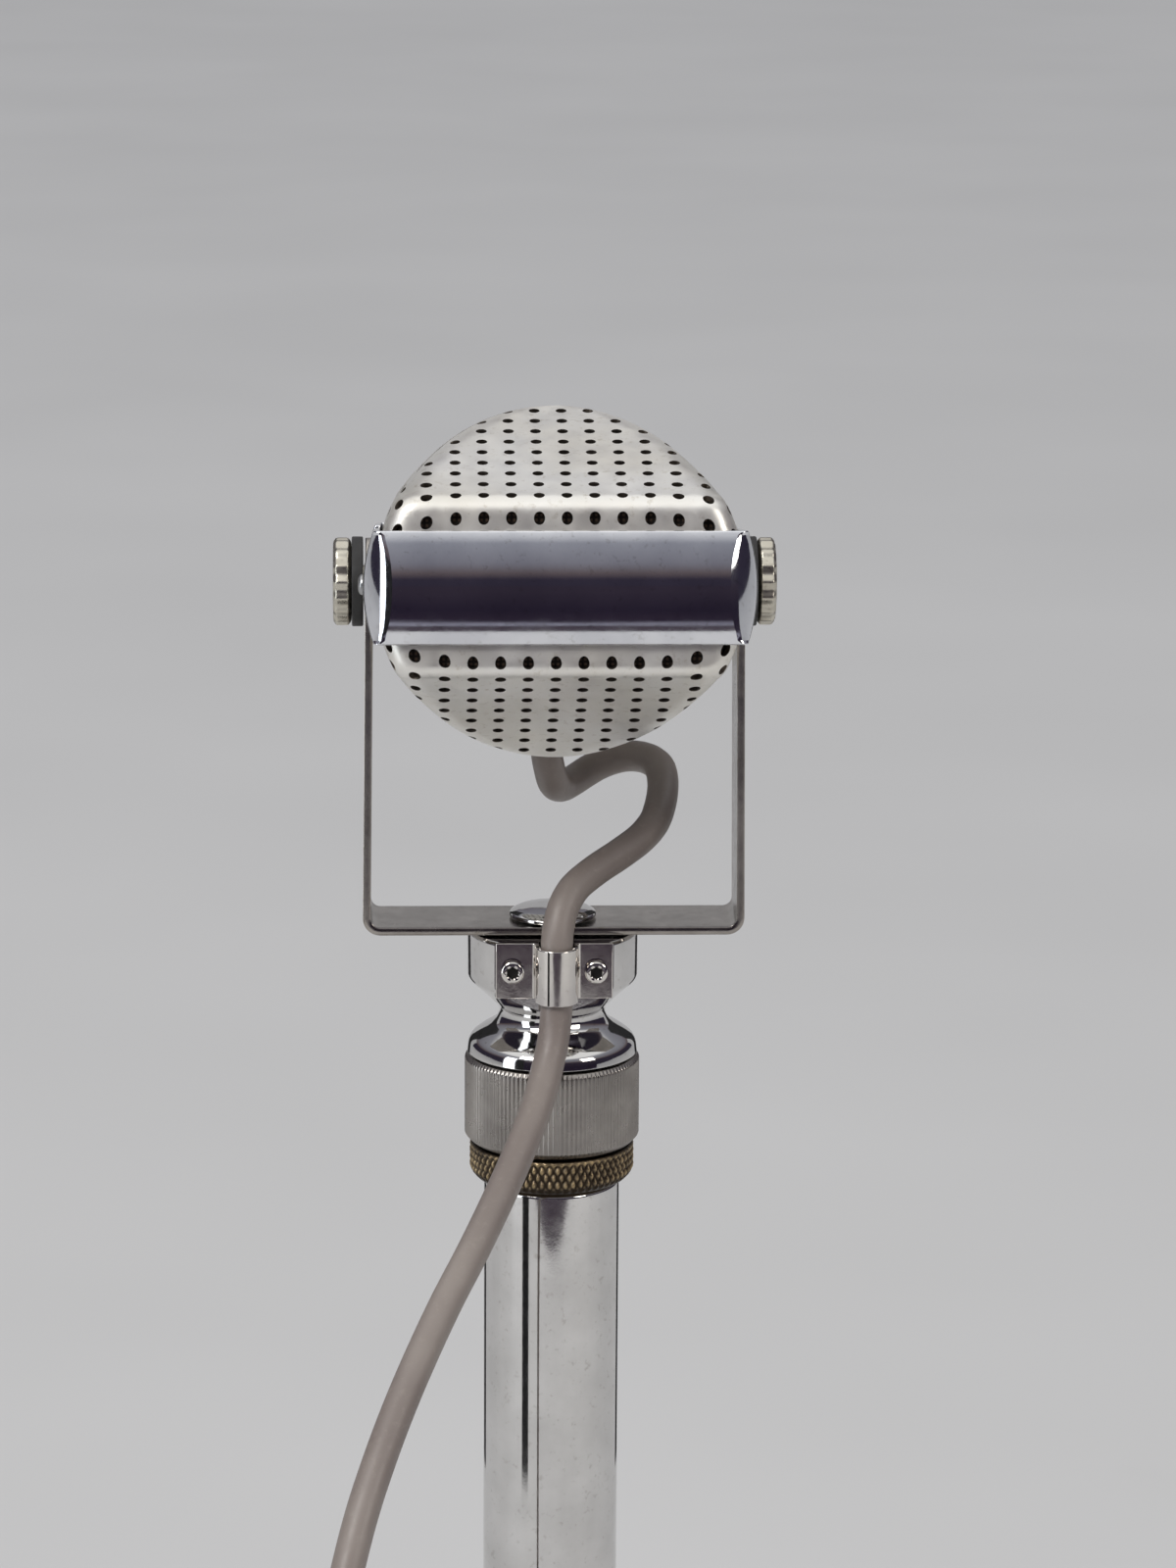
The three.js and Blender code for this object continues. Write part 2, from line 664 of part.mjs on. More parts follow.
// One level of the band's outline in (x', y'), from the end of one leg round to the other.
// The crown is 0 at the band's edges and 1 at mid-height.
function bandLine(crown, inset) {
  const half = BAND_EDGE_X + BAND_CROWN_X * crown - inset;
  const face = BAND_EDGE_Y + BAND_CROWN_Y * crown - inset;
  const corner = Math.max(0.9 + 2.2 * crown - inset, 0.2);
  const line = [[half, BAND_END_Y], [half, BAND_SCREW_Y], [half, 24]];
  for (let i = 0; i <= 3; i += 1) {
    const angle = i * 30 * DEG;
    line.push([half - corner + corner * Math.cos(angle), face - corner + corner * Math.sin(angle)]);
  }
  const mirrored = line.map(([x, y]) => [-x, y]).reverse();
  return [...line, [half / 3, face], [-half / 3, face], ...mirrored];
}

// The rear band: rings of points, outer line and inner line, at levels from -z' to +z'.
function band() {
  const levels = 5;
  const rings = [];
  for (let i = 0; i < levels; i += 1) {
    const t = -1 + (2 * i) / (levels - 1);
    const crown = 1 - t * t;
    const ring = [...bandLine(crown, 0), ...bandLine(crown, BAND_T).reverse()];
    rings.push(ring.map(([x, y]) => [x, y, t * BAND_HALF]));
  }
  const count = rings[0].length;
  const positions = rings.flat(2);
  const index = [];
  for (let level = 0; level + 1 < levels; level += 1) {
    for (let i = 0; i < count; i += 1) {
      const a = level * count + i;
      const b = level * count + ((i + 1) % count);
      index.push(a, b, b + count, a, b + count, a + count);
    }
  }
  const last = (levels - 1) * count;
  for (let i = 0; i + 1 < count / 2; i += 1) {
    const [a, b] = [i, i + 1];
    const [c, d] = [count - 2 - i, count - 1 - i];
    index.push(a, d, b, b, d, c);
    index.push(last + a, last + b, last + d, last + b, last + c, last + d);
  }
  const geometry = new THREE.BufferGeometry();
  geometry.setAttribute('position', new THREE.Float32BufferAttribute(positions, 3));
  geometry.setIndex(index);
  const holes = rodX(1, -40, 40, 10).translate(0, BAND_SCREW_Y, 0);
  return cut(facingOut(geometry), [holes]);
}

// A round-headed screw on one leg of the rear band, its shank into the shell.
function bandScrew(side) {
  const seat = BAND_EDGE_X + BAND_CROWN_X + GAP;
  const profile = [
    [0, seat - 1.6], [0.8, seat - 1.6], [0.8, seat], [1.5, seat], [1.2, seat + 0.5], [0, seat + 0.7],
  ];
  return turned(profile, 10).rotateY(side * 90 * DEG).translate(0, BAND_SCREW_Y, 0);
}

for (const [name, turn] of [['front', 180], ['rear', 0]]) {
  piece(`${name}_band`, band(), 'chrome', head).rotation.z = turn * DEG;
  for (const side of [-1, 1]) {
    const hand = (turn === 0 ? side : -side) < 0 ? 'left' : 'right';
    piece(`${name}_band_screw_${hand}`, bandScrew(side), 'steel', head).rotation.z = turn * DEG;
  }
}

// ---------------------------------------------------------------- ribbon motor

const MOTOR_HALF_Z = 12.5;

// The plate that carries the motor, on the end of the rear spigot.
function motorPlate() {
  const low = RING_SPIGOT_Y + GAP;
  const window = box([-14.6, 0, -MOTOR_HALF_Z - 2.4], [14.6, 20, MOTOR_HALF_Z + 2.4]);
  const disc = common(rodY(22, low, low + 1.2, 48), wedgeBody(2, 2));
  return cut(disc, [window]);
}

for (const [name, side] of [['left', -1], ['right', 1]]) {
  const magnet = block([6.2, -7.5, -MOTOR_HALF_Z], [14.2, 7.8, MOTOR_HALF_Z], 0.6);
  const pole = alongZ(outline([[2.7, -1], [5.9, -4], [5.9, 4], [2.7, 1]]), -MOTOR_HALF_Z, MOTOR_HALF_Z);
  if (side < 0) {
    magnet.rotateZ(Math.PI);
    pole.rotateZ(Math.PI);
    magnet.translate(0, 0.3, 0);
  }
  piece(`magnet_${name}`, magnet, 'magnet', head);
  piece(`pole_piece_${name}`, pole, 'steel', head);
}
piece('motor_plate', motorPlate(), 'steel', head);

// The corrugated aluminium ribbon, as a thin zigzag strip between the pole pieces.
function ribbon() {
  const folds = 12;
  const front = [];
  for (let i = 0; i <= folds; i += 1) {
    const z = -MOTOR_HALF_Z - 0.8 + ((2 * MOTOR_HALF_Z + 1.6) * i) / folds;
    front.push([i % 2 === 0 ? -0.35 : 0.35, z]);
  }
  const back = front.map(([y, z]) => [y + 0.2, z]).reverse();
  return alongX(outline([...front, ...back]), -2.2, 2.2);
}

function ribbonClamp(sign) {
  const inner = MOTOR_HALF_Z + 1.15;
  const outer = inner + 2;
  const z = sign > 0 ? [inner, outer] : [-outer, -inner];
  return block([-5.5, -2.4, z[0]], [5.5, 2.4, z[1]], 0.4);
}

piece('ribbon', ribbon(), 'satin', head);
piece('ribbon_clamp_top', ribbonClamp(1), 'board', head);
piece('ribbon_clamp_bottom', ribbonClamp(-1), 'board', head);
piece('transformer', block([-7, -5.4, -19.6], [7, 5.4, -16.1], 0.8), 'copper', head);
piece('terminal_strip', block([-8, -3, 16.2], [8, 3, 17.8], 0.4), 'board', head);

// ---------------------------------------------------------------- cable

function cordSection(sides) {
  const shape = new THREE.Shape();
  for (let i = 0; i < sides; i += 1) {
    const angle = (i / sides) * 2 * Math.PI;
    const point = [(CORD_D / 2) * Math.cos(angle), (CORD_D / 2) * Math.sin(angle)];
    if (i === 0) shape.moveTo(...point);
    else shape.lineTo(...point);
  }
  return shape;
}

// A plain tube along a smooth curve through the points, with a step every so many diameters.
function cord(points, stepDiameters) {
  const path = new THREE.CatmullRomCurve3(points.map((p) => new THREE.Vector3(...p)), false, 'centripetal');
  const steps = Math.ceil(path.getLength() / (stepDiameters * CORD_D));
  const settings = { extrudePath: path, steps, bevelEnabled: false };
  return facingOut(new THREE.ExtrudeGeometry(cordSection(8), settings));
}

// From the grommet down, round behind to the right, forward over the crossbar, into the clip.
const LOOP = [
  [-0.8, 8.2, 276.5], [-0.7, 9.2, 274.5], [-0.3, 10.8, 272.1], [0.4, 13.1, 269.3], [1.6, 16.4, 267.9],
  [3.4, 19.1, 268.1], [5.4, 20.8, 269.0], [7.8, 21.5, 270.2], [10.4, 21.3, 271.1], [12.3, 20.5, 271.5],
  [14.4, 18.8, 271.5], [16.0, 16.1, 270.9], [16.4, 12.8, 269.6], [16.2, 9.9, 268.2], [15.7, 7.5, 266.8],
  [15.0, 5.4, 265.5], [13.9, 3.6, 264.4], [12.5, 2.0, 263.4], [9.3, -0.9, 261.8], [6.1, -3.7, 260.4],
  [3.1, -6.7, 258.7], [2.0, -8.1, 257.5], [1.2, -9.3, 256.1], [0.7, -10.3, 254.5], [0.4, -11.1, 252.9],
  [0.3, -11.5, 251.3], [0.3, -11.55, 249.2], [0.3, -11.55, 247.2],
];

// Out of the clip, past the sleeve, out forward and to the left, down to the table, into the coil.
const RUN = [
  [0.3, -11.55, 246.9], [0.3, -11.55, 244.8], [0.3, -11.6, 242.4], [-0.1, -12.7, 238.2],
  [-1.2, -15.6, 233.8], [-2.9, -20.3, 229.4], [-6.0, -27.6, 223.9], [-8.9, -34.2, 219.6],
  [-12.2, -41.2, 215.0], [-15.7, -48.0, 210.4],
  [-19.1, -54.6, 205.2], [-22.3, -60.8, 199.6], [-25.2, -66.4, 193.5], [-27.8, -71.6, 186.8],
  [-30.4, -77.2, 177.0], [-32.4, -82.0, 164.0], [-33.6, -85.6, 147.0], [-34.1, -87.9, 125.0],
  [-34.2, -89.0, 100.0], [-34.2, -89.6, 75.0], [-34.1, -90.4, 52.0], [-34.0, -92.8, 33.0],
  [-33.9, -97.2, 18.6], [-33.9, -104.6, 8.2], [-33.9, -112.6, 3.9], [-33.9, -119.8, 3.3],
];

// From the coil's upper layer down to the table and into the plug.
const TAIL = [
  [18.6, -171.9, 6.0], [24.2, -171.4, 4.7], [31.0, -169.6, 3.8], [38.0, -165.8, 3.8], [44.0, -159.8, 4.8],
  [48.2, -152.0, 6.3], [49.8, -145.0, 7.0], [49.9, -140.3, 7.0],
];

piece('cord_loop', cord(LOOP, 1), 'cord');
piece('cord_run', cord(RUN, 1.3), 'cord');
piece('cord_tail', cord(TAIL, 2), 'cord');

const COIL_IN = COIL_MID_R - (COIL_WIDE * CORD_D) / 2;
const COIL_OUT = COIL_MID_R + (COIL_WIDE * CORD_D) / 2;
const COIL_TOP = COIL_LIFT + COIL_HIGH * CORD_D;

function cordCoil() {
  const bevel = 1.2;
  return turned([
    [COIL_IN, COIL_LIFT + bevel], [COIL_IN + bevel, COIL_LIFT], [COIL_OUT - bevel, COIL_LIFT],
    [COIL_OUT, COIL_LIFT + bevel], [COIL_OUT, COIL_TOP - bevel], [COIL_OUT - bevel, COIL_TOP],
    [COIL_IN + bevel, COIL_TOP], [COIL_IN, COIL_TOP - bevel],
  ], 32);
}

// A hook-and-loop strap closed round the bundle on the side towards the base. The bundle curves
// within the strap's width, so the strap's inner leg stands off a little more.
function coilTie() {
  const near = COIL_IN - 0.4;
  const height = COIL_TOP - COIL_LIFT;
  const loop = (gap, bevel) => [
    [near - gap, bevel - gap], [near - gap + bevel, -gap], [COIL_OUT + gap - bevel, -gap],
    [COIL_OUT + gap, bevel - gap], [COIL_OUT + gap, height + gap - bevel],
    [COIL_OUT + gap - bevel, height + gap], [near - gap + bevel, height + gap],
    [near - gap, height + gap - bevel],
  ];
  const outer = alongX(outline(loop(GAP + TIE_T, 1.6)), -TIE_W / 2, TIE_W / 2);
  const inner = alongX(outline(loop(GAP, 1)), -TIE_W, TIE_W);
  return cut(outer, [inner]).translate(0, 0, COIL_LIFT);
}

piece('cord_coil', cordCoil(), 'cord').position.set(...COIL_CENTRE, 0);
piece('coil_tie', coilTie(), 'rubber').position.set(...COIL_CENTRE, 0);

// ---------------------------------------------------------------- jack plug

const PLUG_AT = [49.9, -140, 7];
const PLUG_SLEEVE_L = 40;

function plugSleeve() {
  return turnedY([
    [0, 0], [3.4, 0], [3.8, 0.8], [4.2, 7], [6.6, 9], [7, 10], [7, 36], [6.4, 37.6], [6.4, PLUG_SLEEVE_L],
    [0, PLUG_SLEEVE_L],
  ], 18);
}

// The contact: a long sleeve, the insulating neck and the tip.
function plugContact() {
  const start = PLUG_SLEEVE_L + GAP;
  const end = start + 30;
  return turnedY([
    [0, start], [5.2, start], [5.2, start + 1.4], [3.17, start + 1.4], [3.17, end - 6.5], [3.17, end - 4.6],
    [2.3, end - 3.4], [3, end - 1.8], [1, end], [0, end],
  ], 16);
}

piece('plug_sleeve', plugSleeve(), 'nickel').position.set(...PLUG_AT);
piece('plug_contact', plugContact(), 'brass').position.set(...PLUG_AT);

export default stand;
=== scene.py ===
"""A desktop microphone on its stand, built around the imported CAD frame.

Lengths in this script are millimetres until a mesh is made, where they become metres.
"""

import math

import bpy
import bmesh
from mathutils import Matrix, Vector


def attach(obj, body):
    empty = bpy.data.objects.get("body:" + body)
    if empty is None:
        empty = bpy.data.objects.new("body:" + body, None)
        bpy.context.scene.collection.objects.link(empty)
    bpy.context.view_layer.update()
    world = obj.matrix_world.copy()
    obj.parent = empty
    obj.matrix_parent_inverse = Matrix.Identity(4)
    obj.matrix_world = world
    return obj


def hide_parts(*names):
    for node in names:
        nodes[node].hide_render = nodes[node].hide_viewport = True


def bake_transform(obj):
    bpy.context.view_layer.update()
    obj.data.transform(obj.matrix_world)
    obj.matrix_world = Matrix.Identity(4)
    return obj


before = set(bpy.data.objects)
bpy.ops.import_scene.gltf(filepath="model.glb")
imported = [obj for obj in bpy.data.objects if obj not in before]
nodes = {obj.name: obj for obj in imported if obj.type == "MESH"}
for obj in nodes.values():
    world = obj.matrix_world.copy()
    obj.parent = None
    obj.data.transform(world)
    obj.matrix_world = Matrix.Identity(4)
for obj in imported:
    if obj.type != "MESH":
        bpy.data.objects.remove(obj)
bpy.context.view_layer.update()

MM = 0.001
TAU = 2 * math.pi

# ---------------------------------------------------------------- sizes, as in the CAD source

PIVOT_Z = 302.0
HEAD_TILT = math.radians(10)
GAP = 0.3
CORD_R = 2.3
FLAT_Y = -8.9
HEAD_R = 25.0
FRONT_Y = 34.0
RIM_Y = 2.5
SCREEN_T = 0.8
HOLE_PITCH = 3.8
RING_R = 12.0
RING_KNURL = 0.42
SIDES = {"left": -1, "right": 1}
HALVES = {"front": -1, "rear": 1}


def below(distance):
    """Height of a point given as a distance below the tilt axis."""
    return PIVOT_Z - distance


def hung(points):
    """Profile points given as (radius, distance below the tilt axis), with heights instead."""
    return [(radius, below(distance), *more) for radius, distance, *more in points]


# ---------------------------------------------------------------- camera

FOCAL_PX = 5700.0
PICTURE = (1200, 1600)
CAMERA_DISTANCE = 797.2
CAMERA_PITCH = math.radians(13.6)
CAMERA_AZIMUTH = math.radians(2.0)
CAMERA_ROLL = math.radians(0.35)
PIVOT_IN_PICTURE = (565.5, 593.0)


def make_camera():
    forward = Vector((
        math.sin(CAMERA_AZIMUTH) * math.cos(CAMERA_PITCH),
        math.cos(CAMERA_AZIMUTH) * math.cos(CAMERA_PITCH),
        -math.sin(CAMERA_PITCH),
    ))
    level = forward.cross(Vector((0, 0, 1))).normalized()
    upright = level.cross(forward)
    right = level * math.cos(CAMERA_ROLL) + upright * math.sin(CAMERA_ROLL)
    up = upright * math.cos(CAMERA_ROLL) - level * math.sin(CAMERA_ROLL)
    scale = CAMERA_DISTANCE / FOCAL_PX
    across = (PIVOT_IN_PICTURE[0] - PICTURE[0] / 2) * scale
    rise = (PICTURE[1] / 2 - PIVOT_IN_PICTURE[1]) * scale
    pivot = Vector((0, 0, PIVOT_Z))
    place = (pivot - right * across - up * rise - forward * CAMERA_DISTANCE) * MM
    data = bpy.data.cameras.new("camera")
    data.sensor_width = 36.0
    data.lens = FOCAL_PX / max(PICTURE) * data.sensor_width
    data.clip_start = 0.01
    data.clip_end = 60.0
    camera = bpy.data.objects.new("camera", data)
    bpy.context.scene.collection.objects.link(camera)
    turn = Matrix((right, up, -forward)).transposed().to_4x4()
    camera.matrix_world = Matrix.Translation(place) @ turn
    bpy.context.scene.camera = camera


make_camera()

# ---------------------------------------------------------------- materials


class Nodes:
    """The node tree of a material or of the world, and the shader that everything in it feeds."""

    def __init__(self, tree, shader_type):
        self.tree = tree
        self.shader = next(n for n in tree.nodes if n.type == shader_type)

    def feed(self, socket, value):
        """Joins another node's output to a socket, or sets it to a number, vector or colour."""
        if hasattr(value, "links"):
            self.tree.links.new(value, socket)
        else:
            socket.default_value = (*value, 1) if socket.type == "RGBA" else value

    def set(self, **values):
        """Feeds the shader's sockets, their names written with _ for a space."""
        for key, value in values.items():
            self.feed(self.shader.inputs[key.replace("_", " ")], value)

    def node(self, kind, inputs=None, **settings):
        made = self.tree.nodes.new(kind)
        for key, value in settings.items():
            setattr(made, key, value)
        for key, value in (inputs or {}).items():
            self.feed(made.inputs[key], value)
        return made

    def ramp(self, value, *stops):
        """Colours for a value, from (position, colour) stops."""
        made = self.node("ShaderNodeValToRGB", {"Fac": value})
        elements = made.color_ramp.elements
        while len(elements) < len(stops):
            elements.new(0.5)
        for element, (position, color) in zip(elements, stops):
            element.position = position
            element.color = (*color, 1)
        return made.outputs["Color"]

    def blend(self, amount, first, second):
        inputs = {0: amount, 6: first, 7: second}
        return self.node("ShaderNodeMix", inputs, data_type="RGBA").outputs[2]


class Paint(Nodes):
    """A material being built."""

    def __init__(self, name):
        self.material = bpy.data.materials.new(name)
        self.material.use_nodes = True
        super().__init__(self.material.node_tree, "BSDF_PRINCIPLED")
        self.place = self.node("ShaderNodeTexCoord").outputs["Object"]

    def stretched(self, x, y, z):
        """The object's coordinates, scaled along each axis."""
        made = self.node("ShaderNodeMapping", {"Vector": self.place, "Scale": (x, y, z)})
        return made.outputs["Vector"]

    def noise(self, scale, detail=3.0, rough=0.55, vector=None):
        inputs = {"Vector": vector or self.place, "Scale": scale, "Detail": detail, "Roughness": rough}
        return self.node("ShaderNodeTexNoise", inputs).outputs["Fac"]

    def waves(self, scale, direction):
        inputs = {"Vector": self.place, "Scale": scale}
        return self.node("ShaderNodeTexWave", inputs, bands_direction=direction).outputs["Fac"]

    def spread(self, value, low, high, from_low=0.3, from_high=0.7):
        inputs = {"From Min": from_low, "From Max": from_high, "To Min": low, "To Max": high}
        return self.node("ShaderNodeMapRange", {"Value": value, **inputs}).outputs["Result"]

    def combine(self, operation, first, second):
        return self.node("ShaderNodeMath", {0: first, 1: second}, operation=operation).outputs[0]

    def bump(self, height, strength, distance_mm):
        inputs = {"Height": height, "Strength": strength, "Distance": distance_mm * MM}
        self.set(Normal=self.node("ShaderNodeBump", inputs).outputs["Normal"])


def plated(name, dark, light, rough, spots=0.0):
    """Plated or bare metal: a slow shift of tone, faint haze and, if asked for, small dull spots."""
    paint = Paint(name)
    tone = paint.ramp(paint.noise(120, 4), (0.35, dark), (0.65, light))
    if spots > 0:
        where = paint.spread(paint.noise(900, 2, 0.7), 0.0, spots, 0.6, 0.72)
        tone = paint.blend(where, tone, (0.2, 0.17, 0.12))
    paint.set(Metallic=1.0, Base_Color=tone, Roughness=paint.spread(paint.noise(420, 5, 0.65), *rough))
    paint.bump(paint.noise(2600, 2), 0.02, 0.05)
    return paint.material


def plain(name, dark, light, rough, scale=300, bump=0.1, bump_scale=2500, metallic=0.0):
    """A moulded, painted or cast surface with a fine grain."""
    paint = Paint(name)
    tone = paint.ramp(paint.noise(scale, 4), (0.3, dark), (0.7, light))
    haze = paint.spread(paint.noise(scale * 2, 4), *rough)
    paint.set(Metallic=metallic, Base_Color=tone, Roughness=haze)
    paint.bump(paint.noise(bump_scale, 3), bump, 0.1)
    return paint.material


def screen_metal():
    """Satin silver sheet gone slightly yellow, with small dull marks."""
    paint = Paint("screen_metal")
    base = paint.ramp(paint.noise(60, 4), (0.3, (0.79, 0.76, 0.69)), (0.7, (0.88, 0.87, 0.84)))
    marks = paint.spread(paint.noise(750, 3, 0.7), 0.0, 0.4, 0.58, 0.74)
    haze = paint.spread(paint.noise(300, 5), 0.3, 0.46)
    paint.set(Metallic=0.75, Base_Color=paint.blend(marks, base, (0.42, 0.36, 0.26)), Roughness=haze)
    paint.bump(paint.noise(1800, 3), 0.12, 0.05)
    return paint.material


def gauze_cloth():
    """Dark brown woven gauze."""
    paint = Paint("gauze_cloth")
    weave = paint.combine("MULTIPLY", paint.waves(420, "X"), paint.waves(420, "Z"))
    tone = paint.ramp(weave, (0.05, (0.012, 0.008, 0.006)), (0.8, (0.10, 0.065, 0.045)))
    paint.set(Base_Color=tone, Roughness=0.85)
    paint.bump(weave, 0.6, 0.2)
    return paint.material


def cord_rubber():
    """Warm grey cable sheath, slightly mottled and dusty, with a soft sheen."""
    paint = Paint("cord_sheath")
    base = paint.ramp(paint.noise(55, 3), (0.3, (0.215, 0.180, 0.165)), (0.7, (0.285, 0.248, 0.225)))
    dust = paint.spread(paint.noise(900, 4, 0.7), 0.0, 0.25, 0.55, 0.75)
    haze = paint.spread(paint.noise(500, 4), 0.36, 0.5)
    paint.set(Base_Color=paint.blend(dust, base, (0.40, 0.36, 0.31)), Roughness=haze)
    paint.bump(paint.noise(1500, 3), 0.12, 0.12)
    return paint.material


def tarnished_brass(hollow_r, crest_r):
    """Old brass, nearly black in the hollows of its knurl and dull gold on the crests."""
    paint = Paint("tarnished_brass")
    reach = paint.node("ShaderNodeVectorMath", {0: paint.stretched(1, 1, 0)}, operation="LENGTH")
    worn = paint.spread(reach.outputs["Value"], 0.0, 1.0, hollow_r * MM, crest_r * MM)
    mottle = paint.spread(paint.noise(420, 4, 0.6), -0.28, 0.22)
    rubbed = paint.combine("ADD", worn, mottle)
    dark, middling, gold = (0.05, 0.038, 0.027), (0.18, 0.138, 0.09), (0.45, 0.34, 0.19)
    tone = paint.ramp(rubbed, (0.15, dark), (0.6, middling), (0.98, gold))
    haze = paint.spread(paint.noise(600, 3), 0.3, 0.46)
    paint.set(Metallic=1.0, Base_Color=tone, Roughness=haze)
    paint.bump(paint.noise(2400, 3), 0.15, 0.05)
    return paint.material


def wrinkle_enamel():
    """Black wrinkle enamel on a casting."""
    paint = Paint("wrinkle_enamel")
    inputs = {"Vector": paint.place, "Scale": 900}
    cells = paint.node("ShaderNodeTexVoronoi", inputs, feature="SMOOTH_F1")
    folds = cells.outputs["Distance"]
    fine = paint.noise(1500, 4, 0.6)
    tone = paint.ramp(folds, (0.2, (0.016, 0.016, 0.017)), (0.8, (0.034, 0.034, 0.035)))
    paint.set(Base_Color=tone, Roughness=paint.spread(fine, 0.3, 0.48))
    paint.bump(paint.combine("ADD", folds, fine), 0.5, 0.25)
    return paint.material


def wool_felt():
    paint = Paint("wool_felt")
    fibres = paint.noise(2200, 6, 0.75)
    tone = paint.ramp(fibres, (0.3, (0.012, 0.035, 0.022)), (0.7, (0.03, 0.075, 0.048)))
    paint.set(Base_Color=tone, Roughness=0.95, Sheen_Weight=0.4, Sheen_Roughness=0.5)
    paint.bump(fibres, 0.7, 0.3)
    return paint.material


def strap_weave():
    """The tie: a black hook-and-loop strap with a fine pile."""
    paint = Paint("strap_weave")
    pile = paint.noise(3000, 4, 0.7)
    tone = paint.ramp(pile, (0.3, (0.01, 0.01, 0.011)), (0.7, (0.035, 0.035, 0.038)))
    paint.set(Base_Color=tone, Roughness=0.9, Sheen_Weight=0.3)
    paint.bump(paint.combine("ADD", pile, paint.waves(500, "Z")), 0.5, 0.2)
    return paint.material


CHROME = plated("bright_chrome", (0.60, 0.59, 0.58), (0.69, 0.68, 0.67), (0.035, 0.09), 0.25)
YOKE_CHROME = plated("strap_chrome", (0.31, 0.285, 0.26), (0.42, 0.39, 0.36), (0.16, 0.28), 0.35)
BAND_CHROME = plated("band_chrome", (0.68, 0.69, 0.73), (0.80, 0.81, 0.84), (0.04, 0.10), 0.2)
SATIN = plated("satin_nickel", (0.28, 0.26, 0.243), (0.39, 0.365, 0.34), (0.24, 0.36), 0.12)
NICKEL = plated("cream_nickel", (0.52, 0.485, 0.41), (0.61, 0.58, 0.50), (0.24, 0.38), 0.3)
CLIP_NICKEL = plated("clip_nickel", (0.60, 0.57, 0.55), (0.72, 0.69, 0.65), (0.04, 0.09), 0.3)
STEEL = plated("machined_steel", (0.38, 0.385, 0.39), (0.52, 0.52, 0.525), (0.25, 0.4), 0.3)
COPPER = plated("wound_copper", (0.42, 0.20, 0.11), (0.62, 0.33, 0.19), (0.3, 0.45))
FOIL = plated("ribbon_foil", (0.7, 0.7, 0.71), (0.82, 0.82, 0.83), (0.15, 0.3))
PLUG_METAL = plated("plug_metal", (0.62, 0.61, 0.59), (0.74, 0.73, 0.71), (0.14, 0.26), 0.2)
CONTACT_METAL = plated("contact_metal", (0.66, 0.60, 0.46), (0.78, 0.72, 0.57), (0.12, 0.22), 0.2)
SCREEN = screen_metal()
# Dark brown-grey metal for the walls of the screen's holes: painted shade inside the holes.
HOLE_WALL_SHADE = plated("hole_wall_painted_shade", (0.15, 0.13, 0.11), (0.24, 0.21, 0.18), (0.35, 0.5))
GAUZE = gauze_cloth()
CORD = cord_rubber()
BRASS = tarnished_brass(RING_R - RING_KNURL, RING_R - 0.02)
ENAMEL = wrinkle_enamel()
FELT = wool_felt()
TIE = strap_weave()
RUBBER = plain("black_rubber", (0.012, 0.012, 0.013), (0.03, 0.029, 0.028), (0.5, 0.7), 400, 0.25)
MAGNET = plain("ferrite", (0.05, 0.05, 0.053), (0.09, 0.09, 0.093), (0.5, 0.7), 500, 0.3, 1800, 0.4)
BOARD = plain("pressed_board", (0.13, 0.07, 0.035), (0.21, 0.12, 0.06), (0.55, 0.75), 600, 0.2)
# Near-black for the bottom of the clip screws' hexagon sockets: painted shadow.
SOCKET_SHADE = plain("socket_shadow", (0.010, 0.009, 0.008), (0.02, 0.018, 0.016), (0.6, 0.8), 600, 0.2)

# ---------------------------------------------------------------- mesh helpers


def piece(name, points, faces, material, body, slot, replaces=(), sharp=35, outward=None):
    """A mesh from points in millimetres, riding on a CAD body in place of CAD nodes.
    outward(centre of a face) gives the direction that face is turned to look in."""
    mesh = bpy.data.meshes.new(name)
    mesh.from_pydata([(x * MM, y * MM, z * MM) for x, y, z in points], [], faces)
    work = bmesh.new()
    work.from_mesh(mesh)
    bmesh.ops.remove_doubles(work, verts=work.verts, dist=0.002 * MM)
    if outward is None:
        bmesh.ops.recalc_face_normals(work, faces=work.faces)
    else:
        work.normal_update()
        for face in work.faces:
            if face.normal.dot(outward(face.calc_center_median() / MM)) < 0:
                face.normal_flip()
    work.to_mesh(mesh)
    work.free()
    mesh.materials.append(material)
    mesh.polygons.foreach_set("use_smooth", [True] * len(mesh.polygons))
    mesh.set_sharp_from_angle(angle=math.radians(sharp))
    made = bpy.data.objects.new(name, mesh)
    bpy.context.scene.collection.objects.link(made)
    if body is not None:
        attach(made, body)
    if replaces:
        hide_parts(*replaces)
    return made


def skin(count, levels, closed=False):
    """Quads between rings of points that follow one another, with the same count in each."""
    faces = []
    for i in range(levels if closed else levels - 1):
        low = i * count
        high = (i + 1) % levels * count
        for k in range(count):
            n = (k + 1) % count
            faces.append([low + k, low + n, high + n, high + k])
    return faces


def strip_edges(count, levels):
    """Quads over the two long edges of a bent strip. Its rings run out along one side of the
    sheet and back along the other."""
    faces = []
    for first in (0, (levels - 1) * count):
        last = first + count - 1
        for k in range(count // 2 - 1):
            faces.append([first + k, first + k + 1, last - k - 1, last - k])
    return faces


def rounded(points, radius, steps=4, closed=True):
    """The 2-D line with each corner replaced by a small curve. A point may carry its own radius."""
    made = []
    count = len(points)
    for i, point in enumerate(points):
        here = Vector(point[:2])
        reach = point[2] if len(point) > 2 else radius
        if (not closed and i in (0, count - 1)) or reach <= 0:
            made.append(tuple(here))
            continue
        before = Vector(points[i - 1][:2]) - here
        after = Vector(points[(i + 1) % count][:2]) - here
        reach = min(reach, before.length * 0.49, after.length * 0.49)
        start = here + before.normalized() * reach
        end = here + after.normalized() * reach
        for k in range(steps + 1):
            t = k / steps
            made.append(tuple(start * (1 - t) ** 2 + here * 2 * t * (1 - t) + end * t * t))
    return made


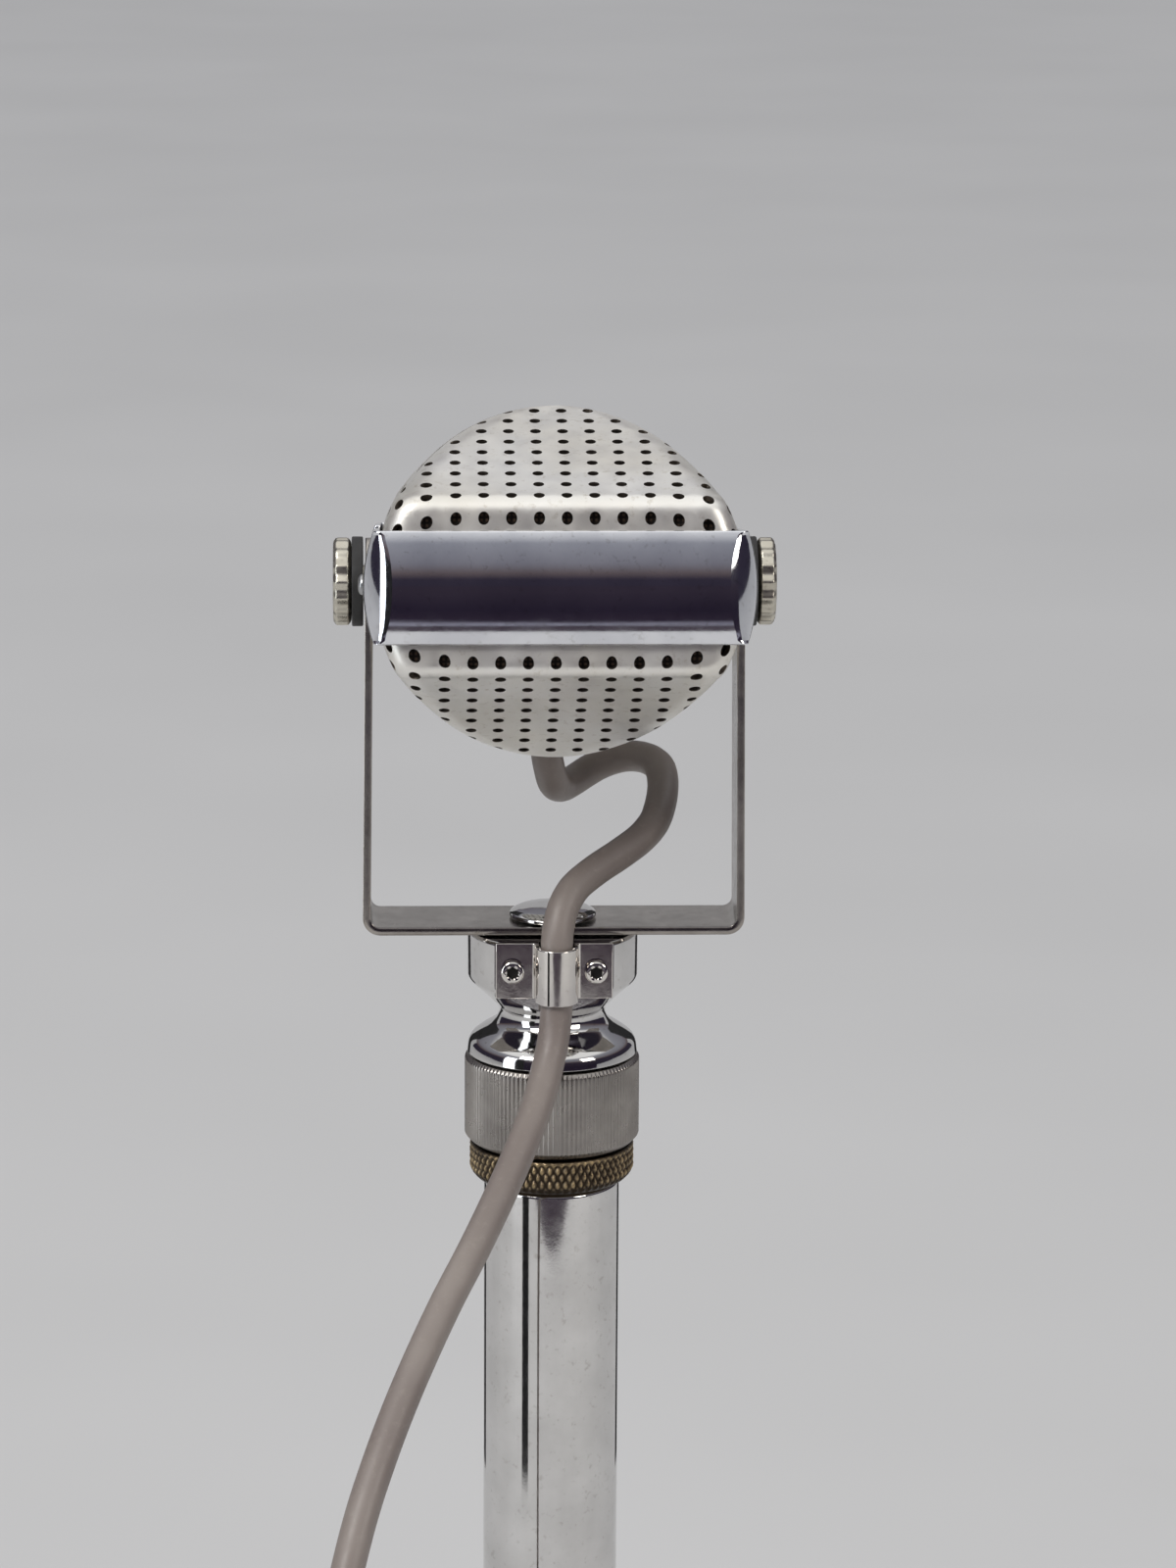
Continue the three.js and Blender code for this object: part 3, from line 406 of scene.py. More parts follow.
def lathe_mesh(profile, segments, shape=None):
    """Points and faces of a body turned about Z from (radius, height) points in order round its
    section. shape(angle, radius, height) may change a point's radius."""
    points = []
    rings = []
    for radius, height in profile:
        if radius < 1e-6:
            rings.append([len(points)])
            points.append((0, 0, height))
            continue
        ring = []
        for k in range(segments):
            angle = TAU * k / segments
            here = shape(angle, radius, height) if shape else radius
            ring.append(len(points))
            points.append((here * math.cos(angle), here * math.sin(angle), height))
        rings.append(ring)
    faces = []
    open_ends = len(rings[0]) == 1 and len(rings[-1]) == 1
    for i in range(len(rings) - 1 if open_ends else len(rings)):
        low, high = rings[i], rings[(i + 1) % len(rings)]
        for k in range(segments):
            n = (k + 1) % segments
            corners = [low[k % len(low)], low[n % len(low)], high[n % len(high)], high[k % len(high)]]
            face = list(dict.fromkeys(corners))
            if len(face) > 2:
                faces.append(face)
    return points, faces


def turned(points, matrix):
    return [tuple(matrix @ Vector(p)) for p in points]


HEAD_FRAME = Matrix.Translation((0, 0, PIVOT_Z)) @ Matrix.Rotation(-HEAD_TILT, 4, "X")
ALONG_X = Matrix(((0, 0, 1, 0), (1, 0, 0, 0), (0, 1, 0, 0), (0, 0, 0, 1)))
ALONG_Y = Matrix(((0, 1, 0, 0), (0, 0, 1, 0), (1, 0, 0, 0), (0, 0, 0, 1)))
HALF_TURN = Matrix.Rotation(math.pi, 4, "Z")


def to_side(side):
    """Turns the Z axis to the left (-1) or to the right (1)."""
    return Matrix.Rotation(side * math.pi / 2, 4, "Y")


def lathe(name, profile, segments, material, body, slot, replaces=(), shape=None, matrix=None, sharp=35):
    points, faces = lathe_mesh(profile, segments, shape)
    if matrix is not None:
        points = turned(points, matrix)
    return piece(name, points, faces, material, body, slot, replaces, sharp)


def soften(made, width_mm, segments=2, angle=40):
    """A small bevel on the sharp edges."""
    bevel = made.modifiers.new("bevel", "BEVEL")
    bevel.width = width_mm * MM
    bevel.segments = segments
    bevel.limit_method = "ANGLE"
    bevel.angle_limit = math.radians(angle)
    return bevel


# ---------------------------------------------------------------- cable

LOOP = [
    (-0.8, 8.2, 276.5), (-0.7, 9.2, 274.5), (-0.3, 10.8, 272.1), (0.4, 13.1, 269.3),
    (1.6, 16.4, 267.9), (3.4, 19.1, 268.1), (5.4, 20.8, 269.0), (7.8, 21.5, 270.2),
    (10.4, 21.3, 271.1), (12.3, 20.5, 271.5), (14.4, 18.8, 271.5), (16.0, 16.1, 270.9),
    (16.4, 12.8, 269.6), (16.2, 9.9, 268.2), (15.7, 7.5, 266.8), (15.0, 5.4, 265.5),
    (13.9, 3.6, 264.4), (12.5, 2.0, 263.4), (9.3, -0.9, 261.8), (6.1, -3.7, 260.4),
    (3.1, -6.7, 258.7), (2.0, -8.1, 257.5), (1.2, -9.3, 256.1), (0.7, -10.3, 254.5),
    (0.4, -11.1, 252.9), (0.3, -11.5, 251.3), (0.3, -11.55, 249.2), (0.3, -11.55, 247.2),
]
RUN = [
    (0.3, -11.55, 246.9), (0.3, -11.55, 244.8), (0.3, -11.6, 242.4), (-0.1, -12.7, 238.2),
    (-1.2, -15.6, 233.8), (-2.9, -20.3, 229.4), (-6.0, -27.6, 223.9), (-8.9, -34.2, 219.6),
    (-12.2, -41.2, 215.0), (-15.7, -48.0, 210.4), (-19.1, -54.6, 205.2), (-22.3, -60.8, 199.6),
    (-25.2, -66.4, 193.5), (-27.8, -71.6, 186.8), (-30.4, -77.2, 177.0), (-32.4, -82.0, 164.0),
    (-33.6, -85.6, 147.0), (-34.1, -87.9, 125.0), (-34.2, -89.0, 100.0), (-34.2, -89.6, 75.0),
    (-34.1, -90.4, 52.0), (-34.0, -92.8, 33.0), (-33.9, -97.2, 18.6), (-33.9, -104.6, 8.2),
    (-33.9, -112.6, 3.9), (-33.9, -119.8, 3.3), (-33.9, -129.0, 3.3),
]
TAIL = [
    (5.0, -171.9, 7.9), (10.0, -171.9, 7.7), (14.0, -171.9, 7.1), (18.6, -171.9, 6.0),
    (24.2, -171.4, 4.7), (31.0, -169.6, 3.8), (38.0, -165.8, 3.8), (44.0, -159.8, 4.8),
    (48.2, -152.0, 6.3), (49.8, -145.0, 7.0), (49.9, -140.3, 7.0),
]
COIL_CENTRE = (0.0, -138.0)
COIL_LOW = 3.3
COIL_HIGH = 7.9
COIL_RADII = (33.9, 29.3, 24.7, 20.1, 24.7, 29.3, 33.9)
COIL_STEPS = (300, 660, 1020, 1620, 1980, 2340)     # in degrees turned from the start
COIL_RISE = 1320
COIL_END = 2610
COIL_EASE = 60                 # how long a step or the rise takes


def eased(value, start, end):
    """Goes smoothly from 0 at the start to 1 at the end."""
    t = min(max((value - start) / (end - start), 0.0), 1.0)
    return t * t * (3 - 2 * t)


def coil_place(turning):
    """Radius and height of the coil after so many degrees: inwards on the table, up at the inner
    side, and outwards again on top. Each turn steps sideways in one short zone."""
    radius = COIL_RADII[0]
    for start, here, following in zip(COIL_STEPS, COIL_RADII, COIL_RADII[1:]):
        radius += (following - here) * eased(turning, start, start + COIL_EASE)
    height = COIL_LOW + (COIL_HIGH - COIL_LOW) * eased(turning, COIL_RISE, COIL_RISE + COIL_EASE)
    return radius, height


def coil_points():
    made = []
    for turning in range(0, COIL_END + 1, 10):
        radius, height = coil_place(turning)
        angle = math.pi + math.radians(turning)
        x = COIL_CENTRE[0] + radius * math.cos(angle)
        y = COIL_CENTRE[1] + radius * math.sin(angle)
        made.append((x, y, height))
    return made


def smooth_line(points, step):
    """A centripetal Catmull-Rom curve through the points, with a point about every step."""
    places = [Vector(p) for p in points]
    places = [places[0] * 2 - places[1], *places, places[-1] * 2 - places[-2]]
    made = []
    for a, b, c, d in zip(places, places[1:], places[2:], places[3:]):
        t1 = (b - a).length ** 0.5
        t2 = t1 + (c - b).length ** 0.5
        t3 = t2 + (d - c).length ** 0.5
        count = max(1, round((c - b).length / step))
        for k in range(count):
            t = t1 + (t2 - t1) * k / count
            p = a.lerp(b, t / t1)
            q = b.lerp(c, (t - t1) / (t2 - t1))
            r = c.lerp(d, (t - t2) / (t3 - t2))
            s = p.lerp(q, t / t2)
            u = q.lerp(r, (t - t1) / (t3 - t1))
            made.append(s.lerp(u, (t - t1) / (t2 - t1)))
    made.append(places[-2])
    return made


def tube_mesh(line, radius, sides):
    """A round tube along the line, its ends closed."""
    points = []
    across = None
    count = len(line)
    for i, here in enumerate(line):
        along = (line[min(i + 1, count - 1)] - line[max(i - 1, 0)]).normalized()
        if across is None:
            across = along.cross(Vector((1, 0, 0.3))).normalized()
        across = (across - along * across.dot(along)).normalized()
        up = along.cross(across)
        for k in range(sides):
            angle = TAU * k / sides
            points.append(tuple(here + (across * math.cos(angle) + up * math.sin(angle)) * radius))
    ends = [list(range(sides))[::-1], [(count - 1) * sides + k for k in range(sides)]]
    return points, skin(sides, count) + ends


def make_cable():
    loop_line = smooth_line(LOOP, 0.8)
    loop = piece("cable_loop", *tube_mesh(loop_line, CORD_R, 24), CORD, None, "cord", ["cord_loop"])
    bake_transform(loop)
    free_line = smooth_line(RUN + coil_points() + TAIL, 1.3)
    free = piece(
        "cable_free", *tube_mesh(free_line, CORD_R, 20), CORD, None, "cord",
        ["cord_run", "cord_coil", "cord_tail"],
    )
    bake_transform(free)
    return free, free_line


cable_free, free_line = make_cable()


# The plug: a knurled barrel that tapers to the cable, a collar, and the contact with its
# insulating ring.
PLUG_PLACE = Matrix.Translation((49.9, -140.0, 7.0)) @ ALONG_Y
BARREL_RIDGES = 18
BARREL_TWIST = 2.2
BARREL_KNURL = 0.14
BARREL_KNURL_LOW = 12.5
BARREL_KNURL_TOP = 33.5
BARREL_R = 7.0


def barrel_knurl(angle, radius, height):
    if not BARREL_KNURL_LOW < height < BARREL_KNURL_TOP or radius < BARREL_R - 0.1:
        return radius
    first = math.cos(BARREL_RIDGES * angle + BARREL_TWIST * height)
    second = math.cos(BARREL_RIDGES * angle - BARREL_TWIST * height)
    return radius - BARREL_KNURL * (1 - max(first, second))


def make_plug():
    barrel = [(0, 0), (3.4, 0), (3.8, 0.8), (4.2, 7), (6.6, 9), (BARREL_R, 10)]
    barrel += [(BARREL_R, 12 + 0.35 * k) for k in range(63)]
    barrel += [(BARREL_R, 36), (6.4, 37.6), (6.4, 40), (0, 40)]
    sleeve = lathe("plug_barrel", barrel, 6 * BARREL_RIDGES, PLUG_METAL, "stand", "nickel",
                   ["plug_sleeve"], barrel_knurl, PLUG_PLACE, 50)
    collar = rounded([
        (0, 40.3, 0), (5.2, 40.3), (5.2, 41.7), (3.2, 41.7, 0.05), (0, 41.7, 0),
    ], 0.3, 3, False)
    flange = lathe("plug_flange", collar, 48, PLUG_METAL, "stand", "nickel", (), None, PLUG_PLACE)
    rod = rounded([
        (0, 41.75, 0), (3.17, 41.75, 0), (3.17, 58.4), (2.9, 58.6), (2.9, 59.4), (3.17, 59.6),
        (3.17, 63.8, 0.1), (3.17, 65.7, 0.5), (2.3, 66.9, 0.4), (3.0, 68.5, 0.7), (1.0, 70.3, 0.4),
        (0, 70.3, 0),
    ], 0.06, 3, False)
    contact = lathe("plug_contact_rod", rod, 48, CONTACT_METAL, "stand", "brass", ["plug_contact"],
                    None, PLUG_PLACE)
    ring = [(2.95, 58.62), (3.12, 58.62), (3.12, 59.38), (2.95, 59.38)]
    insulator = lathe("plug_insulator", ring, 48, RUBBER, "stand", "rubber", (), None, PLUG_PLACE)
    return [sleeve, flange, contact, insulator]


plug_pieces = make_plug()

# ---------------------------------------------------------------- head: perforated screens

STRIP_EDGE = 10.31             # where the flat strip ends and the shoulder begins
SHOULDER_R = 2.5
SLOPE_START_Z = 12.6           # where the slope's line starts, and how far behind the face
SLOPE_START_BACK = 1.5
SLOPE = math.atan2(HEAD_R - SLOPE_START_Z, FRONT_Y - SLOPE_START_BACK - RIM_Y)
BEND = math.pi / 2 - SLOPE     # how far the sheet turns at the shoulder
BEND_LENGTH = SHOULDER_R * BEND
BEND_TOP = STRIP_EDGE + SHOULDER_R * math.sin(BEND)
BELLY = 0.3                    # how far the slope swells out in its middle
FOLD_TIGHT = 0.7
FOLD_BROADER = 2.6             # by how much the fold's radius is greater at the drum's sides
HOLE_R = 0.77
HOLE_ROOM = 0.45               # of the flat sheet that a hole needs round its centre
WALL_HOLE_ROOM = 0.3           # between a hole in the wall and the fold
STRIP_HOLE_TALL = 1.2          # the holes along the flat strip's edge are drawn a little tall
HOLE_START_X = 0.85
LOWER_SHIFT = 2 / 5            # of the pitch: the lower holes don't stand under the upper ones
LOWER_DROP = 0.9               # the lower row along the fold stands nearer to it
LOWER_STRETCH = 0.098          # and the rows beyond stand further apart
SIDES_OF_DRUM = 240
BOSS_NOTCH_R = 5.0
BOSS_CLEAR = 5.6
GROMMET_X = -0.8
GROMMET_Y = 11.5
GROMMET_CLEAR = 3.9
BULGE = 0.024                  # by this share the face is wider than the drum's middle
BULGE_ACROSS = (14, 22)        # where the widening grows, from the middle of the face outwards
BULGE_ALONG = (12, 28)         # and from the middle of the drum forwards
GAUZE_INSET = 1.15
GAUZE_T = 0.3


def sheet_height(along):
    """z' of the sheet at a distance along it from the middle of the flat strip."""
    side = -1 if along < 0 else 1
    s = abs(along)
    if s <= STRIP_EDGE:
        z = s
    elif s <= STRIP_EDGE + BEND_LENGTH:
        z = STRIP_EDGE + SHOULDER_R * math.sin((s - STRIP_EDGE) / SHOULDER_R)
    else:
        z = BEND_TOP + (s - STRIP_EDGE - BEND_LENGTH) * math.sin(SLOPE)
    return side * z


def sheet_depth(z):
    """How far in front of the drum's middle the sheet lies at z', and how squarely it faces forward."""
    z = abs(z)
    if z <= STRIP_EDGE:
        return FRONT_Y, 1.0
    if z <= BEND_TOP:
        lean = math.asin((z - STRIP_EDGE) / SHOULDER_R)
        return FRONT_Y - SHOULDER_R * (1 - math.cos(lean)), math.cos(lean)
    start = FRONT_Y - SHOULDER_R * (1 - math.cos(BEND))
    along = (z - BEND_TOP) / math.tan(SLOPE)
    span = start - RIM_Y
    belly = BELLY * math.sin(math.pi * min(max(along / span, 0), 1))
    return start - along + belly, math.sin(SLOPE)


def edge_radius(angle):
    """The fold between the face and the drum's wall is broad at the sides and tight at the rim,
    where the wall is low."""
    wall = sheet_depth(HEAD_R * math.sin(angle))[0] - RIM_Y
    return max(0.05, min(FOLD_TIGHT + FOLD_BROADER * math.cos(angle) ** 2, 0.3 * wall))


def fold_point(angle, part):
    """A point on the fold, part 0 at the face and 1 at the wall."""
    radius = edge_radius(angle)
    lean = part * math.pi / 2
    out = HEAD_R - radius + radius * math.sin(lean)
    z = out * math.sin(angle)
    depth, square = sheet_depth(z)
    y = -(depth - radius * (1 - math.cos(lean)) / square)
    return out * math.cos(angle), min(y, -RIM_Y), z


def folded(x, z):
    """The place of a flat point (x, z'): on the face, or wrapped over the drum's edge."""
    angle = math.atan2(z, x)
    radius = edge_radius(angle)
    past = math.hypot(x, z) - (HEAD_R - radius)
    if past <= 0:
        return x, -sheet_depth(z)[0], z
    return fold_point(angle, min(past / radius / (math.pi / 2), 1.0))


def flat_reach(angle):
    """How far from the middle the flat sheet goes before it becomes the drum's wall."""
    return HEAD_R + edge_radius(angle) * (math.pi / 2 - 1)


def clip_to_drum(polygon):
    """The convex polygon of (x, z') points, cut to the flat sheet's outline."""
    def edge_point(i):
        angle = TAU * i / SIDES_OF_DRUM
        radius = flat_reach(angle)
        return radius * math.cos(angle), radius * math.sin(angle)

    if all(math.hypot(x, z) < HEAD_R for x, z in polygon):
        return polygon
    middle = math.atan2(sum(z for _, z in polygon), sum(x for x, _ in polygon))
    near = int(middle / TAU * SIDES_OF_DRUM)
    for i in range(near - 5, near + 6):
        (ax, az), (bx, bz) = edge_point(i), edge_point(i + 1)

        def inside(point):
            return (bx - ax) * (point[1] - az) - (bz - az) * (point[0] - ax)

        kept = []
        for here, following in zip(polygon, polygon[1:] + polygon[:1]):
            d1, d2 = inside(here), inside(following)
            if d1 >= -1e-9:
                kept.append(here)
            if (d1 > 1e-9 and d2 < -1e-9) or (d1 < -1e-9 and d2 > 1e-9):
                t = d1 / (d1 - d2)
                kept.append((here[0] + t * (following[0] - here[0]), here[1] + t * (following[1] - here[1])))
        polygon = kept
        if len(polygon) < 3:
            return []
    return polygon


CELL_SIDES = 5
CELL_RINGS = 3
SAG_START = 12.0
SAG = 0.017
SAG_FULL = 9.8                 # distance along the sheet at which the rows bend most
SAG_FADE = 13.7                # from here to SAG_END they bend less and less
SAG_END = 21.0


def lowered(s):
    """The rows of the lower half, which aren't spaced as the upper ones are."""
    if s >= 0:
        return s
    near = min(1.0, abs(s / HOLE_PITCH + 2.5))
    beyond = max(0.0, -s - 3.5 * HOLE_PITCH)
    return s - LOWER_DROP * math.cos(near * math.pi / 2) ** 2 - LOWER_STRETCH * beyond


def sagging(x, s):
    """The rows beside the flat strip bend towards the band at their ends, as the sheet was
    drawn over the drum's sides. Gives the place along the sheet of a point of the punched pattern."""
    s = lowered(s)
    reach = abs(s)
    share = eased(reach, 0, SAG_FULL) * (1 - eased(reach, SAG_FADE, SAG_END))
    drawn = share * SAG * max(0.0, abs(x) - SAG_START) ** 2
    return math.copysign(max(reach - drawn, 0.0), s)


def square_border():
    """Points round a square of side 1, counter-clockwise."""
    corners = [(-0.5, -0.5), (0.5, -0.5), (0.5, 0.5), (-0.5, 0.5)]
    made = []
    for (au, av), (bu, bv) in zip(corners, corners[1:] + corners[:1]):
        for k in range(CELL_SIDES):
            t = k / CELL_SIDES
            made.append((au + (bu - au) * t, av + (bv - av) * t))
    return made


def holed_cell(centre_u, centre_v, pitch_u, tall=1.0):
    """Quads of a cell with a hole in its middle, as lists of flat points. They get smaller
    towards the hole."""
    border = square_border()
    rings = []
    for ring in range(CELL_RINGS + 1):
        t = (ring / CELL_RINGS) ** 0.8
        line = []
        for u, v in border:
            angle = math.atan2(v, u)
            start = (u * pitch_u, v * HOLE_PITCH)
            end = (HOLE_R * math.cos(angle), tall * HOLE_R * math.sin(angle))
            line.append((
                centre_u + start[0] * (1 - t) + end[0] * t,
                centre_v + start[1] * (1 - t) + end[1] * t,
            ))
        rings.append(line)
    quads = []
    count = len(border)
    for outer, inner in zip(rings, rings[1:]):
        for k in range(count):
            n = (k + 1) % count
            quads.append([outer[k], outer[n], inner[n], inner[k]])
    return quads


def whole_cell(centre_u, centre_v):
    """Quads of a cell without a hole."""
    steps = [HOLE_PITCH * (i / CELL_SIDES - 0.5) for i in range(CELL_SIDES + 1)]
    made = []
    for left, right in zip(steps, steps[1:]):
        for low, high in zip(steps, steps[1:]):
            corners = [(left, low), (right, low), (right, high), (left, high)]
            made.append([(centre_u + u, centre_v + v) for u, v in corners])
    return made


class Sheet:
    """Points and faces gathered for one screen. Points closer than a hair are shared."""

    def __init__(self):
        self.points = []
        self.index = {}
        self.faces = []

    def add(self, corners):
        face = []
        for corner in corners:
            key = tuple(round(c, 3) for c in corner)
            if key not in self.index:
                self.index[key] = len(self.points)
                self.points.append(corner)
            if self.index[key] not in face:
                face.append(self.index[key])
        if len(face) > 2:
            self.faces.append(face)


def hole_fits(centre_x, centre_s):
    """Whether a hole lies on the flat sheet. The outermost ones may just touch its edge."""
    for k in range(12):
        angle = TAU * k / 12
        x = centre_x + HOLE_ROOM * math.cos(angle)
        s = centre_s + HOLE_ROOM * math.sin(angle)
        z = sheet_height(sagging(x, s))
        if math.hypot(x, z) > flat_reach(math.atan2(z, x)):
            return False
    return True


def face_of_screen(sheet, holes):
    """The face and its fold: square cells, each with a hole where there is room for one."""
    for column in range(-9, 9):
        for row in range(-14, 14):
            x = HOLE_START_X + column * HOLE_PITCH - (LOWER_SHIFT * HOLE_PITCH if row < 0 else 0)
            s = (row + 0.5) * HOLE_PITCH
            if holes and hole_fits(x, s):
                tall = STRIP_HOLE_TALL if abs(abs(s) - 2.5 * HOLE_PITCH) < 0.1 else 1.0
                cells = holed_cell(x, s, HOLE_PITCH, tall)
            else:
                cells = whole_cell(x, s)
            for quad in cells:
                flat = clip_to_drum([(u, sheet_height(sagging(u, v))) for u, v in quad])
                if len(flat) > 2:
                    sheet.add([folded(u, z) for u, z in flat])


WALL_COLUMNS = 40
WALL_ROWS = 9


def on_wall(angle, y):
    return HEAD_R * math.cos(angle), y, HEAD_R * math.sin(angle)


def wall_of_screen(sheet, holes):
    step = TAU / WALL_COLUMNS
    sub_columns = SIDES_OF_DRUM // WALL_COLUMNS
    for column in range(WALL_COLUMNS):
        middle = (column + 0.5) * step
        for row in range(WALL_ROWS):
            y = -RIM_Y - (row + 0.5) * HOLE_PITCH
            top = max(fold_point(middle + d * HOLE_R / HEAD_R, 1)[1] for d in (-1.5, 0, 1.5))
            beside_boss = math.hypot(y, HEAD_R * math.sin(middle)) < BOSS_CLEAR + HOLE_R
            if holes and y - HOLE_R - WALL_HOLE_ROOM > top and not beside_boss:
                for quad in holed_cell(middle * HEAD_R, y, step * HEAD_R):
                    sheet.add([on_wall(u / HEAD_R, v) for u, v in quad])
                continue
            for i in range(sub_columns):
                a = (column * sub_columns + i) * TAU / SIDES_OF_DRUM
                b = a + TAU / SIDES_OF_DRUM
                top_a, top_b = fold_point(a, 1)[1], fold_point(b, 1)[1]
                for k in range(CELL_SIDES):
                    low = y - HOLE_PITCH * (k / CELL_SIDES - 0.5)
                    high = low - HOLE_PITCH / CELL_SIDES
                    if low <= top_a and low <= top_b:
                        continue
                    sheet.add([
                        on_wall(a, max(low, top_a)), on_wall(b, max(low, top_b)),
                        on_wall(b, max(high, top_b)), on_wall(a, max(high, top_a)),
                    ])


def bulged(point):
    """The drum's sides spread a little towards the front, where the sheet is folded over them.
    The middle of the face stays as it is."""
    x, y, z = point
    return x * (1 + BULGE * eased(abs(x), *BULGE_ACROSS) * eased(-y, *BULGE_ALONG)), y, z


def make_sheet(name, front, holes, inset, thickness, material, slot):
    """A screen, or the gauze behind it: the same folded sheet, moved inwards by the inset."""
    sheet = Sheet()
    face_of_screen(sheet, holes)
    wall_of_screen(sheet, holes)
    turn = HEAD_FRAME if front else HEAD_FRAME @ HALF_TURN
    heart = turn @ Vector((0, -12, 0))
    made = piece(
        name, turned(map(bulged, sheet.points), turn), sheet.faces, material, None, slot,
        sharp=32, outward=lambda centre: centre - heart,
    )
    notch_head_openings(made, front)
    if inset:
        shift = made.modifiers.new("inset", "DISPLACE")
        shift.strength = -inset * MM
        shift.mid_level = 0
    shell = made.modifiers.new("thickness", "SOLIDIFY")
    shell.thickness = thickness * MM
    shell.offset = -1
    shell.use_even_offset = False
    if holes:
        # The hole walls get the dark second material: painted shade inside the holes.
        made.data.materials.append(HOLE_WALL_SHADE)
        shell.material_offset_rim = 1
    bake_modifiers(made, 32)
    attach(made, "head")
    return made


def notch_head_openings(made, front):
    """Clears the sheet round the pivot bosses and, at the rear, round the cable grommet."""
    to_head = HEAD_FRAME.inverted()
    work = bmesh.new()
    work.from_mesh(made.data)
    doomed = []
    for face in work.faces:
        x, y, z = to_head @ (face.calc_center_median() / MM)
        at_boss = math.hypot(y, z) < BOSS_NOTCH_R and abs(x) > 20
        from_grommet = math.hypot(x - GROMMET_X, (y - GROMMET_Y) / math.cos(SLOPE))
        if at_boss or (not front and z < 0 and from_grommet < GROMMET_CLEAR):
            doomed.append(face)
    bmesh.ops.delete(work, geom=doomed, context="FACES")
    work.to_mesh(made.data)
    work.free()


def bake_modifiers(made, sharp):
    """Replaces the mesh with what its modifiers make of it."""
    bpy.context.view_layer.update()
    graph = bpy.context.evaluated_depsgraph_get()
    mesh = bpy.data.meshes.new_from_object(made.evaluated_get(graph))
    made.modifiers.clear()
    made.data = mesh
    mesh.polygons.foreach_set("use_smooth", [True] * len(mesh.polygons))
    mesh.set_sharp_from_angle(angle=math.radians(sharp))


for half in HALVES:
    perforated = make_sheet(f"screen_{half}", half == "front", True, 0, SCREEN_T, SCREEN, "screen")
    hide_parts(f"{half}_screen")
    backing = make_sheet(f"gauze_{half}", half == "front", False, GAUZE_INSET, GAUZE_T, GAUZE,
                         "gauze")
    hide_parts(f"{half}_gauze")

# ---------------------------------------------------------------- head: ring and pivot bosses


def make_carrier_ring():
    """The ring that holds the two screens, notched for the pivot bosses."""
    rib, spigot = 2.2, 5.7
    section = rounded([
        (21.2, -spigot), (22.5, -spigot), (22.5, -rib, 0), (HEAD_R - 0.1, -rib), (HEAD_R - 0.1, rib),
        (22.5, rib, 0), (22.5, spigot), (21.2, spigot),
    ], 0.25, 3)
    turn = HEAD_FRAME @ ALONG_Y
    made = lathe("carrier_ring_turned", section, 180, SATIN, None, "satin", (), None, turn)
    rod = [(0, -30), (BOSS_NOTCH_R, -30), (BOSS_NOTCH_R, 30), (0, 30)]
    turn = HEAD_FRAME @ ALONG_X
    cutter = lathe("notch_cutter", rod, 48, STEEL, None, "steel", (), None, turn)
    notch = made.modifiers.new("notch", "BOOLEAN")
    notch.operation = "DIFFERENCE"
    notch.solver = "EXACT"
    notch.object = cutter
    bake_modifiers(made, 35)
    bpy.data.objects.remove(cutter)
    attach(made, "head")
    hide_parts("carrier_ring")


def make_boss(hand, side):
    """A threaded bush for the thumb screw, with a flange inside the ring."""
    profile = rounded([
        (2.7, 17.4), (5.6, 17.4), (5.6, 20.2), (4.7, 20.2, 0.1), (4.7, 25.5), (2.7, 25.5),
    ], 0.25, 3)
    turn = HEAD_FRAME @ to_side(side)
    lathe(f"boss_turned_{hand}", profile, 64, STEEL, "head", "steel", [f"pivot_boss_{hand}"],
          None, turn)


make_carrier_ring()
for hand, side in SIDES.items():
    make_boss(hand, side)

# ---------------------------------------------------------------- head: bands, knobs, grommet

BAND_HALF = 7.8
BAND_T = 0.9
BAND_END_Y = 13.0
BAND_LEVELS = 26
BAND_SIDE_X = 25.6             # of its long edges; the middle stands out by the crown's share
BAND_SIDE_CROWN = 1.5
BAND_FACE_Y = 35.2             # the same for its face
BAND_FACE_CROWN = 1.3
BAND_CORNER_R = 5.0            # at mid-height, beyond the corner's least radius
BAND_CORNER_LEAST = 0.7
BAND_CREASE = math.radians(17)
BAND_SCREW_Y = 17.0


def band_line(crown, inset):
    """One level of the band, from the end of one leg round to the other. The corner is a
    broad lens at mid-height, with a crease where it leaves the face."""
    half = BAND_SIDE_X + BAND_SIDE_CROWN * crown - inset
    face = BAND_FACE_Y + BAND_FACE_CROWN * crown - inset
    corner = max(BAND_CORNER_LEAST + BAND_CORNER_R * crown ** 0.7 - inset, 0.2)
    crease = BAND_CREASE * min(1.0, 3 * crown)
    top = math.pi / 2 - crease
    corner_y = face - corner * math.sin(top)
    line = [(half, BAND_END_Y + (corner_y - BAND_END_Y) * k / 6) for k in range(6)]
    for i in range(13):
        angle = top * i / 12
        line.append((half - corner + corner * math.cos(angle), corner_y + corner * math.sin(angle)))
    across = line[-1][0]
    line += [(across * (1 - k / 8), face) for k in range(1, 9)]
    return line + [(-x, y) for x, y in line[-2::-1]]


def make_band(half):
    points = []
    turn = HEAD_FRAME @ HALF_TURN if half == "front" else HEAD_FRAME
    for level in range(BAND_LEVELS + 1):
        t = -1 + 2 * level / BAND_LEVELS
        crown = 1 - t * t
        ring = band_line(crown, 0) + band_line(crown, BAND_T)[::-1]
        points += [(x, y, t * BAND_HALF) for x, y in ring]
    shape = (len(ring), BAND_LEVELS + 1)
    faces = skin(*shape) + strip_edges(*shape)
    made = piece(f"band_{half}", turned(points, turn), faces, BAND_CHROME, "head", "chrome",
                 [f"{half}_band"], 12)
    soften(made, 0.22, 3, 50)


